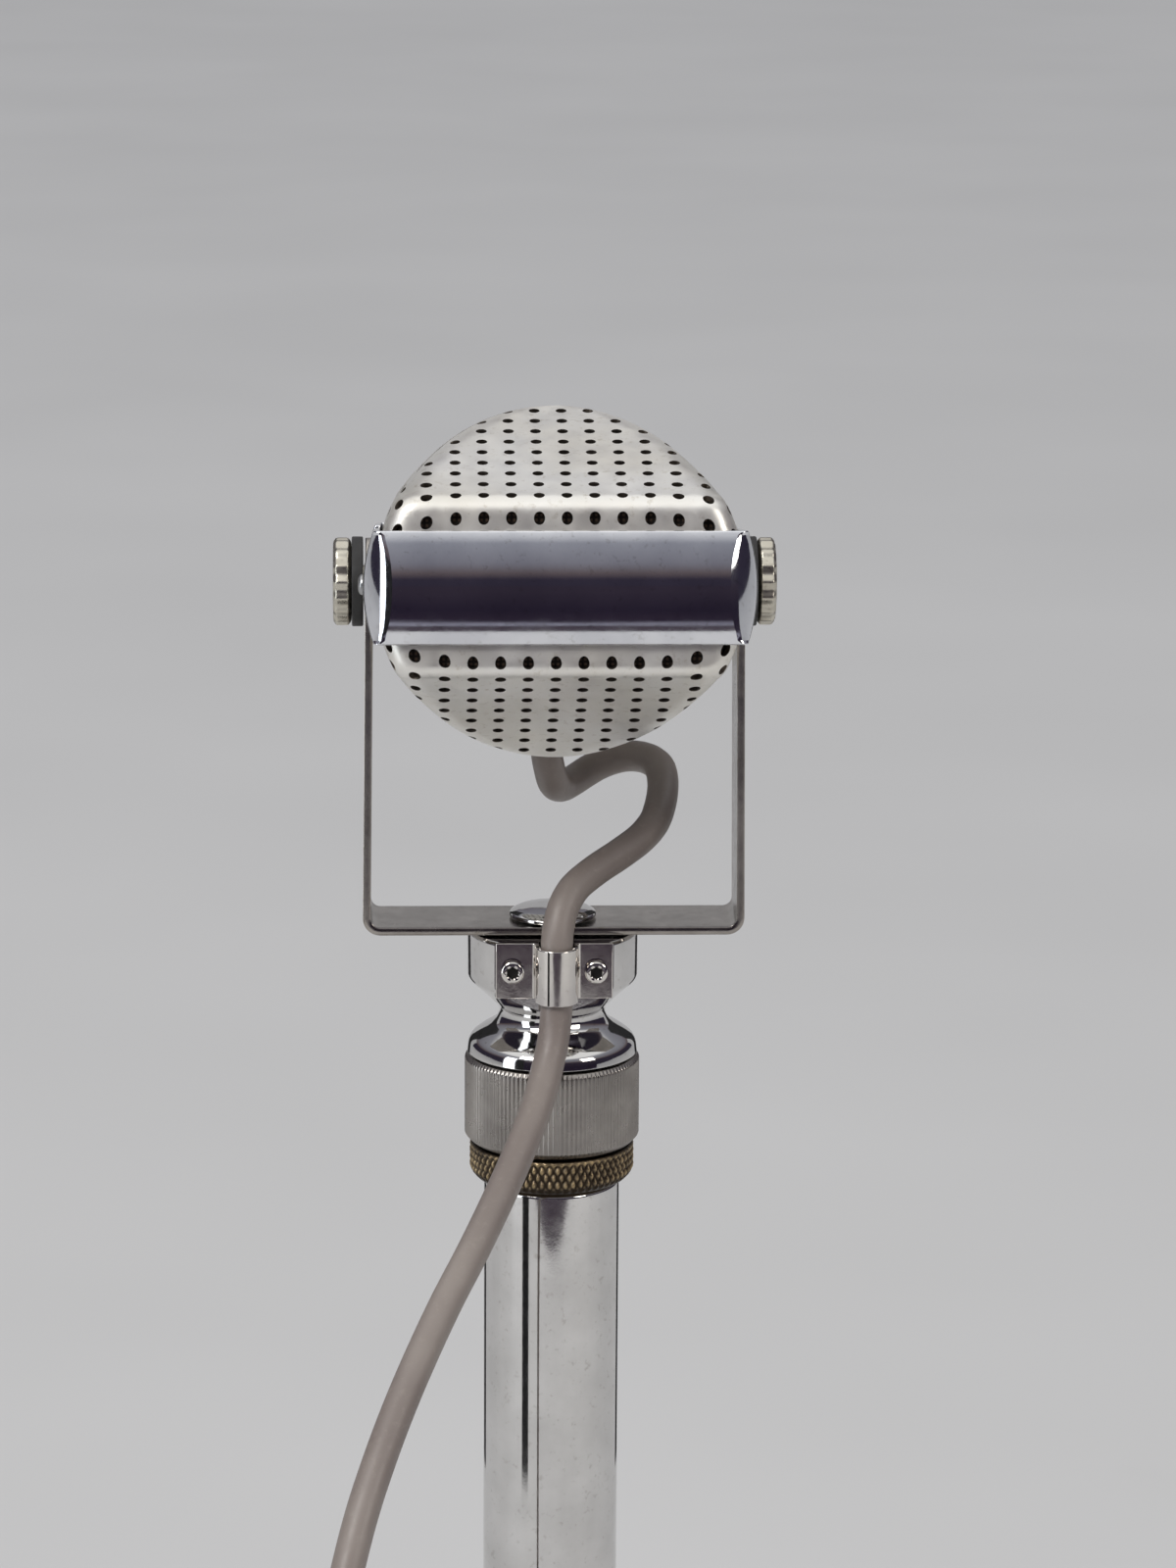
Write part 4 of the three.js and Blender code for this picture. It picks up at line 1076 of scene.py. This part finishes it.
def make_band_screw(half, hand):
    """A round head with a slot across it."""
    seat = BAND_SIDE_X + BAND_SIDE_CROWN + 0.1
    profile = rounded([
        (0, seat - 1.6, 0), (0.8, seat - 1.6, 0), (0.8, seat, 0), (1.5, seat, 0.1),
        (1.35, seat + 0.45, 0.2), (0.8, seat + 0.66, 0.2), (0, seat + 0.7, 0),
    ], 0.1, 3, False)
    points, faces = lathe_mesh(profile, 32)
    slotted = []
    for x, across, z in points:
        if z > seat + 0.25 and abs(across) < 0.18:
            z = min(z, seat + 0.3)
        slotted.append((x, across, z))
    place = Matrix.Translation((0, HALVES[half] * BAND_SCREW_Y, 0))
    turn = HEAD_FRAME @ place @ to_side(SIDES[hand])
    piece(f"band_screw_{half}_{hand}", turned(slotted, turn), faces, STEEL, "head", "steel",
          [f"{half}_band_screw_{hand}"], 30)


for half in HALVES:
    make_band(half)
for half in HALVES:
    for hand in SIDES:
        make_band_screw(half, hand)

FLUTES = 16
FLUTE_DEPTH = 0.36
FLUTE_INNER_R = 4.6


def flute(angle, radius, height):
    """Rounded flutes round the knob, fading out towards the middle of its end."""
    if radius < FLUTE_INNER_R:
        return radius
    wave = 0.5 - 0.5 * math.cos(FLUTES * angle)
    return radius - FLUTE_DEPTH * wave ** 0.8 * min(1.0, (radius - FLUTE_INNER_R) / 1.2)


def make_knob(hand, side):
    rim = rounded([
        (0, 18.6, 0), (2.35, 18.6, 0.2), (2.35, 28.9, 0.1), (5.6, 28.9, 0.25), (6.25, 29.35, 0.25),
        (6.25, 31.05, 0.25), (5.65, 31.5, 0.3), (4.3, 31.5, 0.2), (4.0, 31.25, 0.2), (0, 31.25, 0),
    ], 0.2, 4, False)
    turn = HEAD_FRAME @ to_side(side)
    lathe(f"knob_fluted_{hand}", rim, 192, NICKEL, f"knob_{hand}", "nickel", [f"thumb_screw_{hand}"],
          flute, turn, 40)


def make_washer(hand, side):
    ring = rounded([(2.7, 27.25), (6.4, 27.25), (6.4, 28.85), (2.7, 28.85)], 0.22, 4)
    turn = Matrix.Translation((0, 0, PIVOT_Z)) @ to_side(side)
    lathe(f"washer_{hand}", ring, 72, RUBBER, "mount", "rubber", [f"friction_washer_{hand}"],
          None, turn)


for make in (make_knob, make_washer):
    for hand, side in SIDES.items():
        make(hand, side)


def make_grommet():
    ring = rounded([
        (2.62, 1.8), (3.6, 1.8), (3.6, -GAP, 0.05), (4.9, -GAP, 0.2), (4.7, -1.2, 0.5),
        (3.4, -2.2, 0.4), (2.62, -2.2, 0.2),
    ], 0.2, 4)
    surface = -(HEAD_R - (GROMMET_Y - RIM_Y) * math.tan(SLOPE))
    place = Matrix.Translation((GROMMET_X, GROMMET_Y, surface))
    turn = HEAD_FRAME @ place @ Matrix.Rotation(SLOPE, 4, "X")
    lathe("grommet", ring, 64, RUBBER, "head", "rubber", ["cable_grommet"], None, turn)


make_grommet()

# ---------------------------------------------------------------- yoke

ARM_X = 25.8                   # inner side of an arm at the tilt axis
CROSSBAR_DROP = 49.5           # its top below the tilt axis
ARM_LEAN = 0.5 / CROSSBAR_DROP
STRAP_HALF = 6.3
STRAP_T = 1.15
STRAP_EDGE = 0.18
STRAP_BEND = 2.5


def yoke_path(steps=10):
    """The strap's outer line in (x, z), from the top of the left arm to the top of the right arm,
    with the direction that points to the strap's inner side."""
    cross_low = below(CROSSBAR_DROP) - STRAP_T
    bend_z = cross_low + STRAP_BEND
    arm_top = PIVOT_Z + STRAP_HALF

    def outer_x(z):
        return ARM_X + ARM_LEAN * (PIVOT_Z - z) + STRAP_T

    left = []
    for k in range(25):
        z = arm_top + (bend_z - arm_top) * k / 24
        left.append(((-outer_x(z), z), (1, 0)))
    centre = -outer_x(bend_z) + STRAP_BEND
    for k in range(1, steps + 1):
        angle = math.pi + k / steps * math.pi / 2
        u, v = math.cos(angle), math.sin(angle)
        left.append(((centre + STRAP_BEND * u, bend_z + STRAP_BEND * v), (-u, -v)))
    across = [((centre * (1 - k / 12), cross_low), (0, 1)) for k in range(1, 13)]
    half = left + across
    return half + [((-x, z), (-u, v)) for (x, z), (u, v) in half[-2::-1]]


def make_yoke():
    """A bent strap with rounded edges and round arm tops."""
    right = [0.2, 0.45, 0.7, 0.9, 0.955, 0.985, 1]
    across = [-t for t in right[::-1]] + [0] + right
    points = []
    path = yoke_path()
    for (x, z), (u, v) in path:
        rise = z - PIVOT_Z
        half = STRAP_HALF if rise <= 0 else math.sqrt(max(STRAP_HALF ** 2 - rise ** 2, 0.05))
        for order, depth, inward in ((across, 0, 1), (across[::-1], STRAP_T, -1)):
            for t in order:
                y = t * half
                near = min(1.0, (half - abs(y)) / STRAP_EDGE) if half > STRAP_EDGE else 1.0
                round_in = STRAP_EDGE * (1 - math.sqrt(max(0.0, 1 - (1 - near) ** 2)))
                deep = depth + inward * round_in
                points.append((x + u * deep, y, z + v * deep))
    count = 2 * len(across)
    first = list(range(count))
    last = [(len(path) - 1) * count + k for k in range(count)]
    faces = skin(count, len(path)) + [first, last]
    piece("yoke_strap", points, faces, YOKE_CHROME, "mount", "chrome", ["yoke"], 40)


make_yoke()

dome = rounded(hung([
    (0, 63, 0), (3, 63, 0), (3, 49.2, 0), (6.25, 49.2, 0.1), (6.25, 48.7, 0.25), (5.2, 48.1, 0.6),
    (2.8, 47.7, 1.2), (0, 47.65, 0),
]), 0.1, 6, False)
lathe("yoke_screw_dome", dome, 96, CHROME, "mount", "chrome", ["yoke_screw"], None, None, 40)

# ---------------------------------------------------------------- swivel body, clip

SWIVEL = hung([
    (3.3, 50.95, 0), (11.95, 50.95, 0.15), (12.35, 51.35, 0.2), (12.35, 58.2, 0.7), (9.8, 60.5, 1.2),
    (7.9, 62.4, 0.9), (7.6, 63.5, 0.5), (8.2, 64.9, 0.8), (10.4, 66.2, 1.2), (12.1, 67.5, 0.9),
    (12.4, 69.35, 0.1), (6.5, 69.35, 0), (6.5, 73.4, 0), (3.3, 73.4, 0),
])
FLAT_LOW = below(62)


def make_swivel():
    """The turned fitting, with the clip's flat cut across its front. Each ring has a stretch of
    points along the flat and the rest round the turned surface, so that the flat's edge is crisp."""
    profile = rounded(SWIVEL, 0.4, 5)
    flat_steps = 16
    round_steps = 104
    least = math.radians(2)
    points = []
    for radius, z in profile:
        limit = min(radius, -FLAT_Y) if z > FLAT_LOW and radius > 5 else radius
        half = max(math.acos(limit / radius), least)
        width = radius * math.sin(half)
        for k in range(flat_steps):
            x = -width + 2 * width * k / flat_steps
            y = -min(limit, math.sqrt(max(radius * radius - x * x, 0)))
            points.append((x, y, z))
        for k in range(round_steps):
            angle = -math.pi / 2 + half + (TAU - 2 * half) * k / round_steps
            points.append((radius * math.cos(angle), radius * math.sin(angle), z))
    faces = skin(flat_steps + round_steps, len(profile), True)
    piece("swivel_fitting", points, faces, CHROME, "mount", "chrome", ["swivel_body"], 30)


make_swivel()

CORD_AT_CLIP = (0.3, -11.55)
CLIP_T = 0.65
CLIP_BACK = FLAT_Y - GAP
CLIP_Z = below(55)
CLIP_HALF = 4.1
CLIP_SCREW_X = 6


def clip_line(y, reach, bend):
    """One side of the strap in (x, y), from the left ear over the cable to the right ear."""
    cord_x, cord_y = CORD_AT_CLIP
    left, right = cord_x - reach, cord_x + reach
    rise = rounded([(-3.6, y), (left, y), (left, cord_y)], bend, 4, False)[1:-1]
    fall = rounded([(right, cord_y), (right, y), (4.2, y)], bend, 4, False)[1:-1]
    arch = []
    for k in range(21):
        angle = math.pi + math.pi * k / 20
        arch.append((cord_x + reach * math.cos(angle), cord_y + reach * math.sin(angle)))
    ears = [(x, y) for x in (-8.4, -7.2, -4.8, 4.8, 7.2, 8.4)]
    return ears[:3] + rise + arch + fall + ears[3:]


def make_clip():
    """The strap over the cable: two flat ears and a tall arch, with softened edges."""
    inner = 2.45
    outside = clip_line(CLIP_BACK - CLIP_T, inner + CLIP_T, 0.5)
    section = outside + clip_line(CLIP_BACK, inner, 0.4)[::-1]
    levels = 7
    points = []
    for k in range(levels):
        z = CLIP_Z - CLIP_HALF + 2 * CLIP_HALF * k / (levels - 1)
        points += [(x, y, z) for x, y in section]
    shape = (len(section), levels)
    faces = skin(*shape) + strip_edges(*shape)
    made = piece("clip_strap", points, faces, CLIP_NICKEL, "mount", "chrome", ["cable_clip"], 40)
    soften(made, 0.14, 3, 50)


make_clip()


def make_clip_screw(hand, side):
    """A small round head with a hexagon socket."""
    seat = CLIP_BACK - CLIP_T - 0.02
    face = seat - 1.2
    profile = [
        (0, seat + 5.0), (0.9, seat + 5.0), (0.9, seat), (1.55, seat), (1.65, seat - 0.1),
        (1.65, face + 0.35), (1.58, face + 0.15), (1.42, face + 0.03), (1.25, face), (0.98, face),
        (0.92, face + 0.08), (0.9, face + 0.8), (0, face + 0.9),
    ]

    def socket(angle, radius, height):
        if radius > 0.95 or height > face + 1:
            return radius
        return radius * 0.9 / math.cos(angle % (math.pi / 3) - math.pi / 6)

    x = side * CLIP_SCREW_X
    turn = Matrix.Translation((x, 0, CLIP_Z)) @ ALONG_Y
    made = lathe(f"clip_socket_{hand}", profile, 48, CLIP_NICKEL, "mount", "steel",
                 [f"clip_screw_{hand}"], socket, turn, 30)
    # The bottom of the hexagon socket is coloured near-black: painted shadow inside the socket.
    made.data.materials.append(SOCKET_SHADE)
    for polygon in made.data.polygons:
        centre = polygon.center / MM
        if math.hypot(centre.x - x, centre.z - CLIP_Z) < 0.9 and centre.y < seat + 0.1:
            polygon.material_index = 1


for hand, side in SIDES.items():
    make_clip_screw(hand, side)

# ---------------------------------------------------------------- sleeve, ring, tube, base

SLEEVE_R = 12.7
SLEEVE_TEETH = 116
SLEEVE_KNURL = 0.17
SLEEVE_KNURL_R = 12.05         # nothing nearer the middle is knurled
SLEEVE_KNURL_LOW = below(82.2)
SLEEVE_KNURL_TOP = below(70.2)


def straight_knurl(angle, radius, height):
    if radius < SLEEVE_KNURL_R or not SLEEVE_KNURL_LOW < height < SLEEVE_KNURL_TOP:
        return radius
    return radius - SLEEVE_KNURL * (0.5 - 0.5 * math.cos(SLEEVE_TEETH * angle))


def make_sleeve():
    outline = rounded(hung([
        (8.15, 82.7, 0.1), (11.8, 82.7, 0.15), (SLEEVE_R, 81.8, 0.15), (SLEEVE_R, 70.4, 0.25),
        (12.1, 69.8, 0.2), (6.8, 69.8, 0), (6.8, 71.9, 0), (8.15, 71.9, 0),
    ]), 0.1, 4)
    profile = []
    for (r, z), (next_r, next_z) in zip(outline, outline[1:] + outline[:1]):
        profile.append((r, z))
        if min(r, next_r) > SLEEVE_R - 0.1 and abs(z - next_z) > 3:
            profile += [(r, z + (next_z - z) * k / 12) for k in range(1, 12)]
    lathe("sleeve_knurled", profile, SLEEVE_TEETH * 6, SATIN, "coupling", "satin",
          ["coupling_sleeve"], straight_knurl, None, 60)


make_sleeve()

RING_BEADS = 64
RING_LOW = below(88.2)
RING_TOP = below(83.1)
RING_MIDDLE = below(85.6)
RING_ROW = 1.05                # height from one row of diamonds to the next
RING_PLAIN = 0.3               # height without knurl at each edge
RING_FADE = 0.4                # height over which the knurl reaches its depth
RING_EDGE_R = 11.4


def diamond_knurl(angle, radius, height):
    """Rows of small raised diamonds, each row half a step round from the last."""
    above = height - RING_LOW - RING_PLAIN
    under = RING_TOP - RING_PLAIN - height
    if radius < RING_EDGE_R or min(above, under) <= 0:
        return radius
    rise = (height - RING_MIDDLE) * math.pi / (2 * RING_ROW)
    turn = RING_BEADS * angle / 2
    bead = abs(math.cos(turn + rise) * math.cos(turn - rise))
    fade = min(1.0, above / RING_FADE, under / RING_FADE)
    return radius - RING_KNURL * (1 - bead) * fade


def make_lock_ring():
    low = RING_LOW + 1.0
    high = RING_TOP - 0.5
    profile = [
        (8.15, RING_LOW), (10.9, RING_LOW), (11.05, RING_LOW + 0.05), (RING_EDGE_R, RING_LOW + 0.4),
        (11.75, RING_LOW + 0.75),
    ]
    profile += [(RING_R, low + (high - low) * k / 28) for k in range(29)]
    profile += [(11.85, RING_TOP - 0.25), (11.6, RING_TOP - 0.05), (11.45, RING_TOP), (8.15, RING_TOP)]
    lathe("ring_knurled", profile, RING_BEADS * 8, BRASS, "lock_ring", "brass", ["lock_ring"],
          diamond_knurl, None, 60)


make_lock_ring()

shoulder = 24.3
tube_profile = rounded([
    (6, 4.2, 0), (7.94, 4.2, 0.3), (7.94, shoulder, 0), (9.9, shoulder, 0.1),
    (9.9, below(89.1), 0.25), (9.3, below(88.5), 0.2), (7.94, below(88.5), 0),
    (7.94, below(75.4), 0.1), (7.14, below(74.6), 0.1), (6, below(74.6), 0),
], 0.2, 4)
lathe("tube_polished", tube_profile, 160, CHROME, "stand", "chrome", ["stand_tube"], None, None, 30)

collar_profile = rounded([
    (10.2, shoulder, 0.1), (16, shoulder, 0.15), (16, 25.9, 0.4), (15.2, 26.9, 0.4), (13.4, 27.7, 0.7),
    (12.4, 29.1, 0.9), (12, 30.7, 0.5), (11.4, 31.3, 0.3), (10.2, 31.3, 0.2),
], 0.2, 5)
lathe("collar_turned", collar_profile, 128, CHROME, "stand", "chrome", ["tube_collar"], None, None, 30)

base_profile = rounded([
    (8.2, 13, 0), (17, 13, 0.5), (17, 2.3, 0.3), (74, 2.3, 0.3), (75, 3.3, 0.4), (75, 8, 1.2),
    (73.8, 10.8, 1.3), (71, 12, 1.5), (65, 12.8, 0.6), (63, 14, 0.6), (48, 16.2, 5), (26, 18.6, 3.0),
    (20, 20.8, 2.0), (17, 24, 0.6), (8.2, 24, 0),
], 0.5, 6)
lathe("base_enamelled", base_profile, 192, ENAMEL, "stand", "enamel", ["base_casting"], None, None, 30)

pad_profile = rounded([(24, 0), (72, 0), (72, 2), (24, 2)], 0.5, 4)
lathe("pad_felt", pad_profile, 128, FELT, "stand", "felt", ["base_pad"], None, None, 35)

# ---------------------------------------------------------------- CAD nodes that stay

KEPT = {
    "base_washer": STEEL, "base_nut": STEEL, "retaining_ring": STEEL, "thrust_washer": BOARD,
    "magnet_left": MAGNET, "magnet_right": MAGNET, "pole_piece_left": STEEL,
    "pole_piece_right": STEEL, "motor_plate": STEEL, "ribbon": FOIL, "ribbon_clamp_top": BOARD,
    "ribbon_clamp_bottom": BOARD, "transformer": COPPER, "terminal_strip": BOARD, "coil_tie": TIE,
}
SOFTENED = {"base_nut": 0.6, "base_washer": 0.2, "coil_tie": 0.15, "motor_plate": 0.1}

for name, material in KEPT.items():
    node = nodes[name]
    node.data.materials.clear()
    node.data.materials.append(material)
    node.data.polygons.foreach_set("use_smooth", [True] * len(node.data.polygons))
    node.data.set_sharp_from_angle(angle=math.radians(32))
    weld = node.modifiers.new("weld", "WELD")
    weld.merge_threshold = 0.001 * MM
    if name != "ribbon":
        soften(node, SOFTENED.get(name, 0.08), 2, 32).harden_normals = True

# ---------------------------------------------------------------- floor and light


def plane(name, corners, material):
    """A staged four-cornered plane, in metres."""
    mesh = bpy.data.meshes.new(name)
    mesh.from_pydata(corners, [], [[0, 1, 2, 3]])
    mesh.materials.append(material)
    made = bpy.data.objects.new(name, mesh)
    bpy.context.scene.collection.objects.link(made)
    return made


def make_floor():
    size = 14.0
    paint = Paint("pale_floor")
    tone = paint.ramp(paint.noise(4, 2), (0.3, (0.60, 0.603, 0.605)), (0.7, (0.63, 0.633, 0.635)))
    paint.set(Base_Color=tone, Roughness=0.85)
    corners = [(-size, -size, 0), (size, -size, 0), (size, size, 0), (-size, size, 0)]
    plane("floor", corners, paint.material)


def area_light(name, place, target, size, power, color):
    data = bpy.data.lights.new(name, "AREA")
    data.size = size
    data.energy = power
    data.color = color
    light = bpy.data.objects.new(name, data)
    bpy.context.scene.collection.objects.link(light)
    light.location = place
    light.rotation_euler = (Vector(target) - Vector(place)).to_track_quat("-Z", "Y").to_euler()


def glow(name, strength):
    """A black material that only glows."""
    paint = Paint(name)
    paint.set(Base_Color=(0, 0, 0), Emission_Strength=strength, Roughness=1.0, Specular_IOR_Level=0.0)
    return paint


def card(name, x, y, width, height, material):
    """An upright card that faces the object. Only bright metal shows it."""
    half = width / 2
    made = plane(name, [(-half, 0, 0), (half, 0, 0), (half, 0, height), (-half, 0, height)], material)
    made.location = (x, y, 0)
    made.rotation_euler = (0, 0, math.atan2(-y, -x) + math.pi / 2)
    made.visible_camera = False
    made.visible_diffuse = False
    made.visible_shadow = False


def pale_card(name, x, y, width, height, color, strength):
    paint = glow(name, strength)
    paint.set(Emission_Color=color)
    card(name, x, y, width, height, paint.material)


def far_card():
    """What bright metal sees behind the camera: a dark wall with a pale, uneven line low across it."""
    paint = glow("far_wall", 1.0)
    split = paint.node("ShaderNodeSeparateXYZ", {0: paint.place})
    ripple = paint.spread(paint.noise(14, 3, 0.6, paint.stretched(1, 1, 4)), -0.022, 0.022)
    height = paint.combine("ADD", split.outputs["Z"], ripple)
    paint.set(Emission_Color=paint.ramp(
        height,
        (0.030, (0.07, 0.056, 0.072)), (0.055, (0.06, 0.048, 0.06)), (0.068, (0.30, 0.30, 0.36)),
        (0.085, (0.22, 0.21, 0.26)), (0.105, (0.028, 0.020, 0.034)), (0.22, (0.020, 0.015, 0.028)),
        (0.40, (0.034, 0.026, 0.040)),
    ))
    card("card_behind_camera", 0.0, -0.85, 3.0, 0.45, paint.material)


def studio():
    """A soft overhead sky that is dark near the horizon, so that bright metal has something to
    show. The camera sees plain pale grey instead."""
    world = bpy.data.worlds.new("studio")
    bpy.context.scene.world = world
    world.use_nodes = True
    sky = Nodes(world.node_tree, "BACKGROUND")
    coords = sky.node("ShaderNodeTexCoord").outputs["Generated"]
    height = sky.node("ShaderNodeSeparateXYZ", {0: coords}).outputs["Z"]
    seen = sky.node("ShaderNodeLightPath").outputs["Is Camera Ray"]
    color = sky.ramp(
        height,
        (0.0, (0.030, 0.026, 0.042)), (0.25, (0.034, 0.028, 0.045)), (0.32, (0.12, 0.095, 0.10)),
        (0.42, (0.20, 0.195, 0.225)), (0.62, (0.29, 0.295, 0.33)), (0.75, (1.0, 1.0, 1.0)),
    )
    sky.set(Color=sky.blend(seen, color, (0.58, 0.585, 0.59)))


FLAG = plain("dark_card", (0.012, 0.012, 0.014), (0.02, 0.02, 0.022), (0.8, 0.9), 20, 0.05)
make_floor()
studio()
middle = (0, 0, 0.26)
area_light("key", (-1.4, -1.6, 2.2), middle, 0.9, 36, (1.0, 0.98, 0.95))
area_light("fill", (1.1, -0.9, 0.9), middle, 0.5, 4, (1.0, 0.96, 0.9))
far_card()
pale_card("card_behind_object", 0.0, 0.9, 1.6, 0.6, (0.45, 0.45, 0.46), 1.0)
pale_card("card_beside_object", -0.9, -0.5, 0.3, 0.82, (0.90, 0.95, 1.0), 3.3)
card("flag_left", -0.36, -0.36, 0.10, 0.45, FLAG)
card("flag_far_left", -0.20, 0.42, 0.12, 0.6, FLAG)
card("flag_far_right", 0.20, 0.42, 0.12, 0.6, FLAG)
bpy.context.scene.view_settings.view_transform = "Standard"
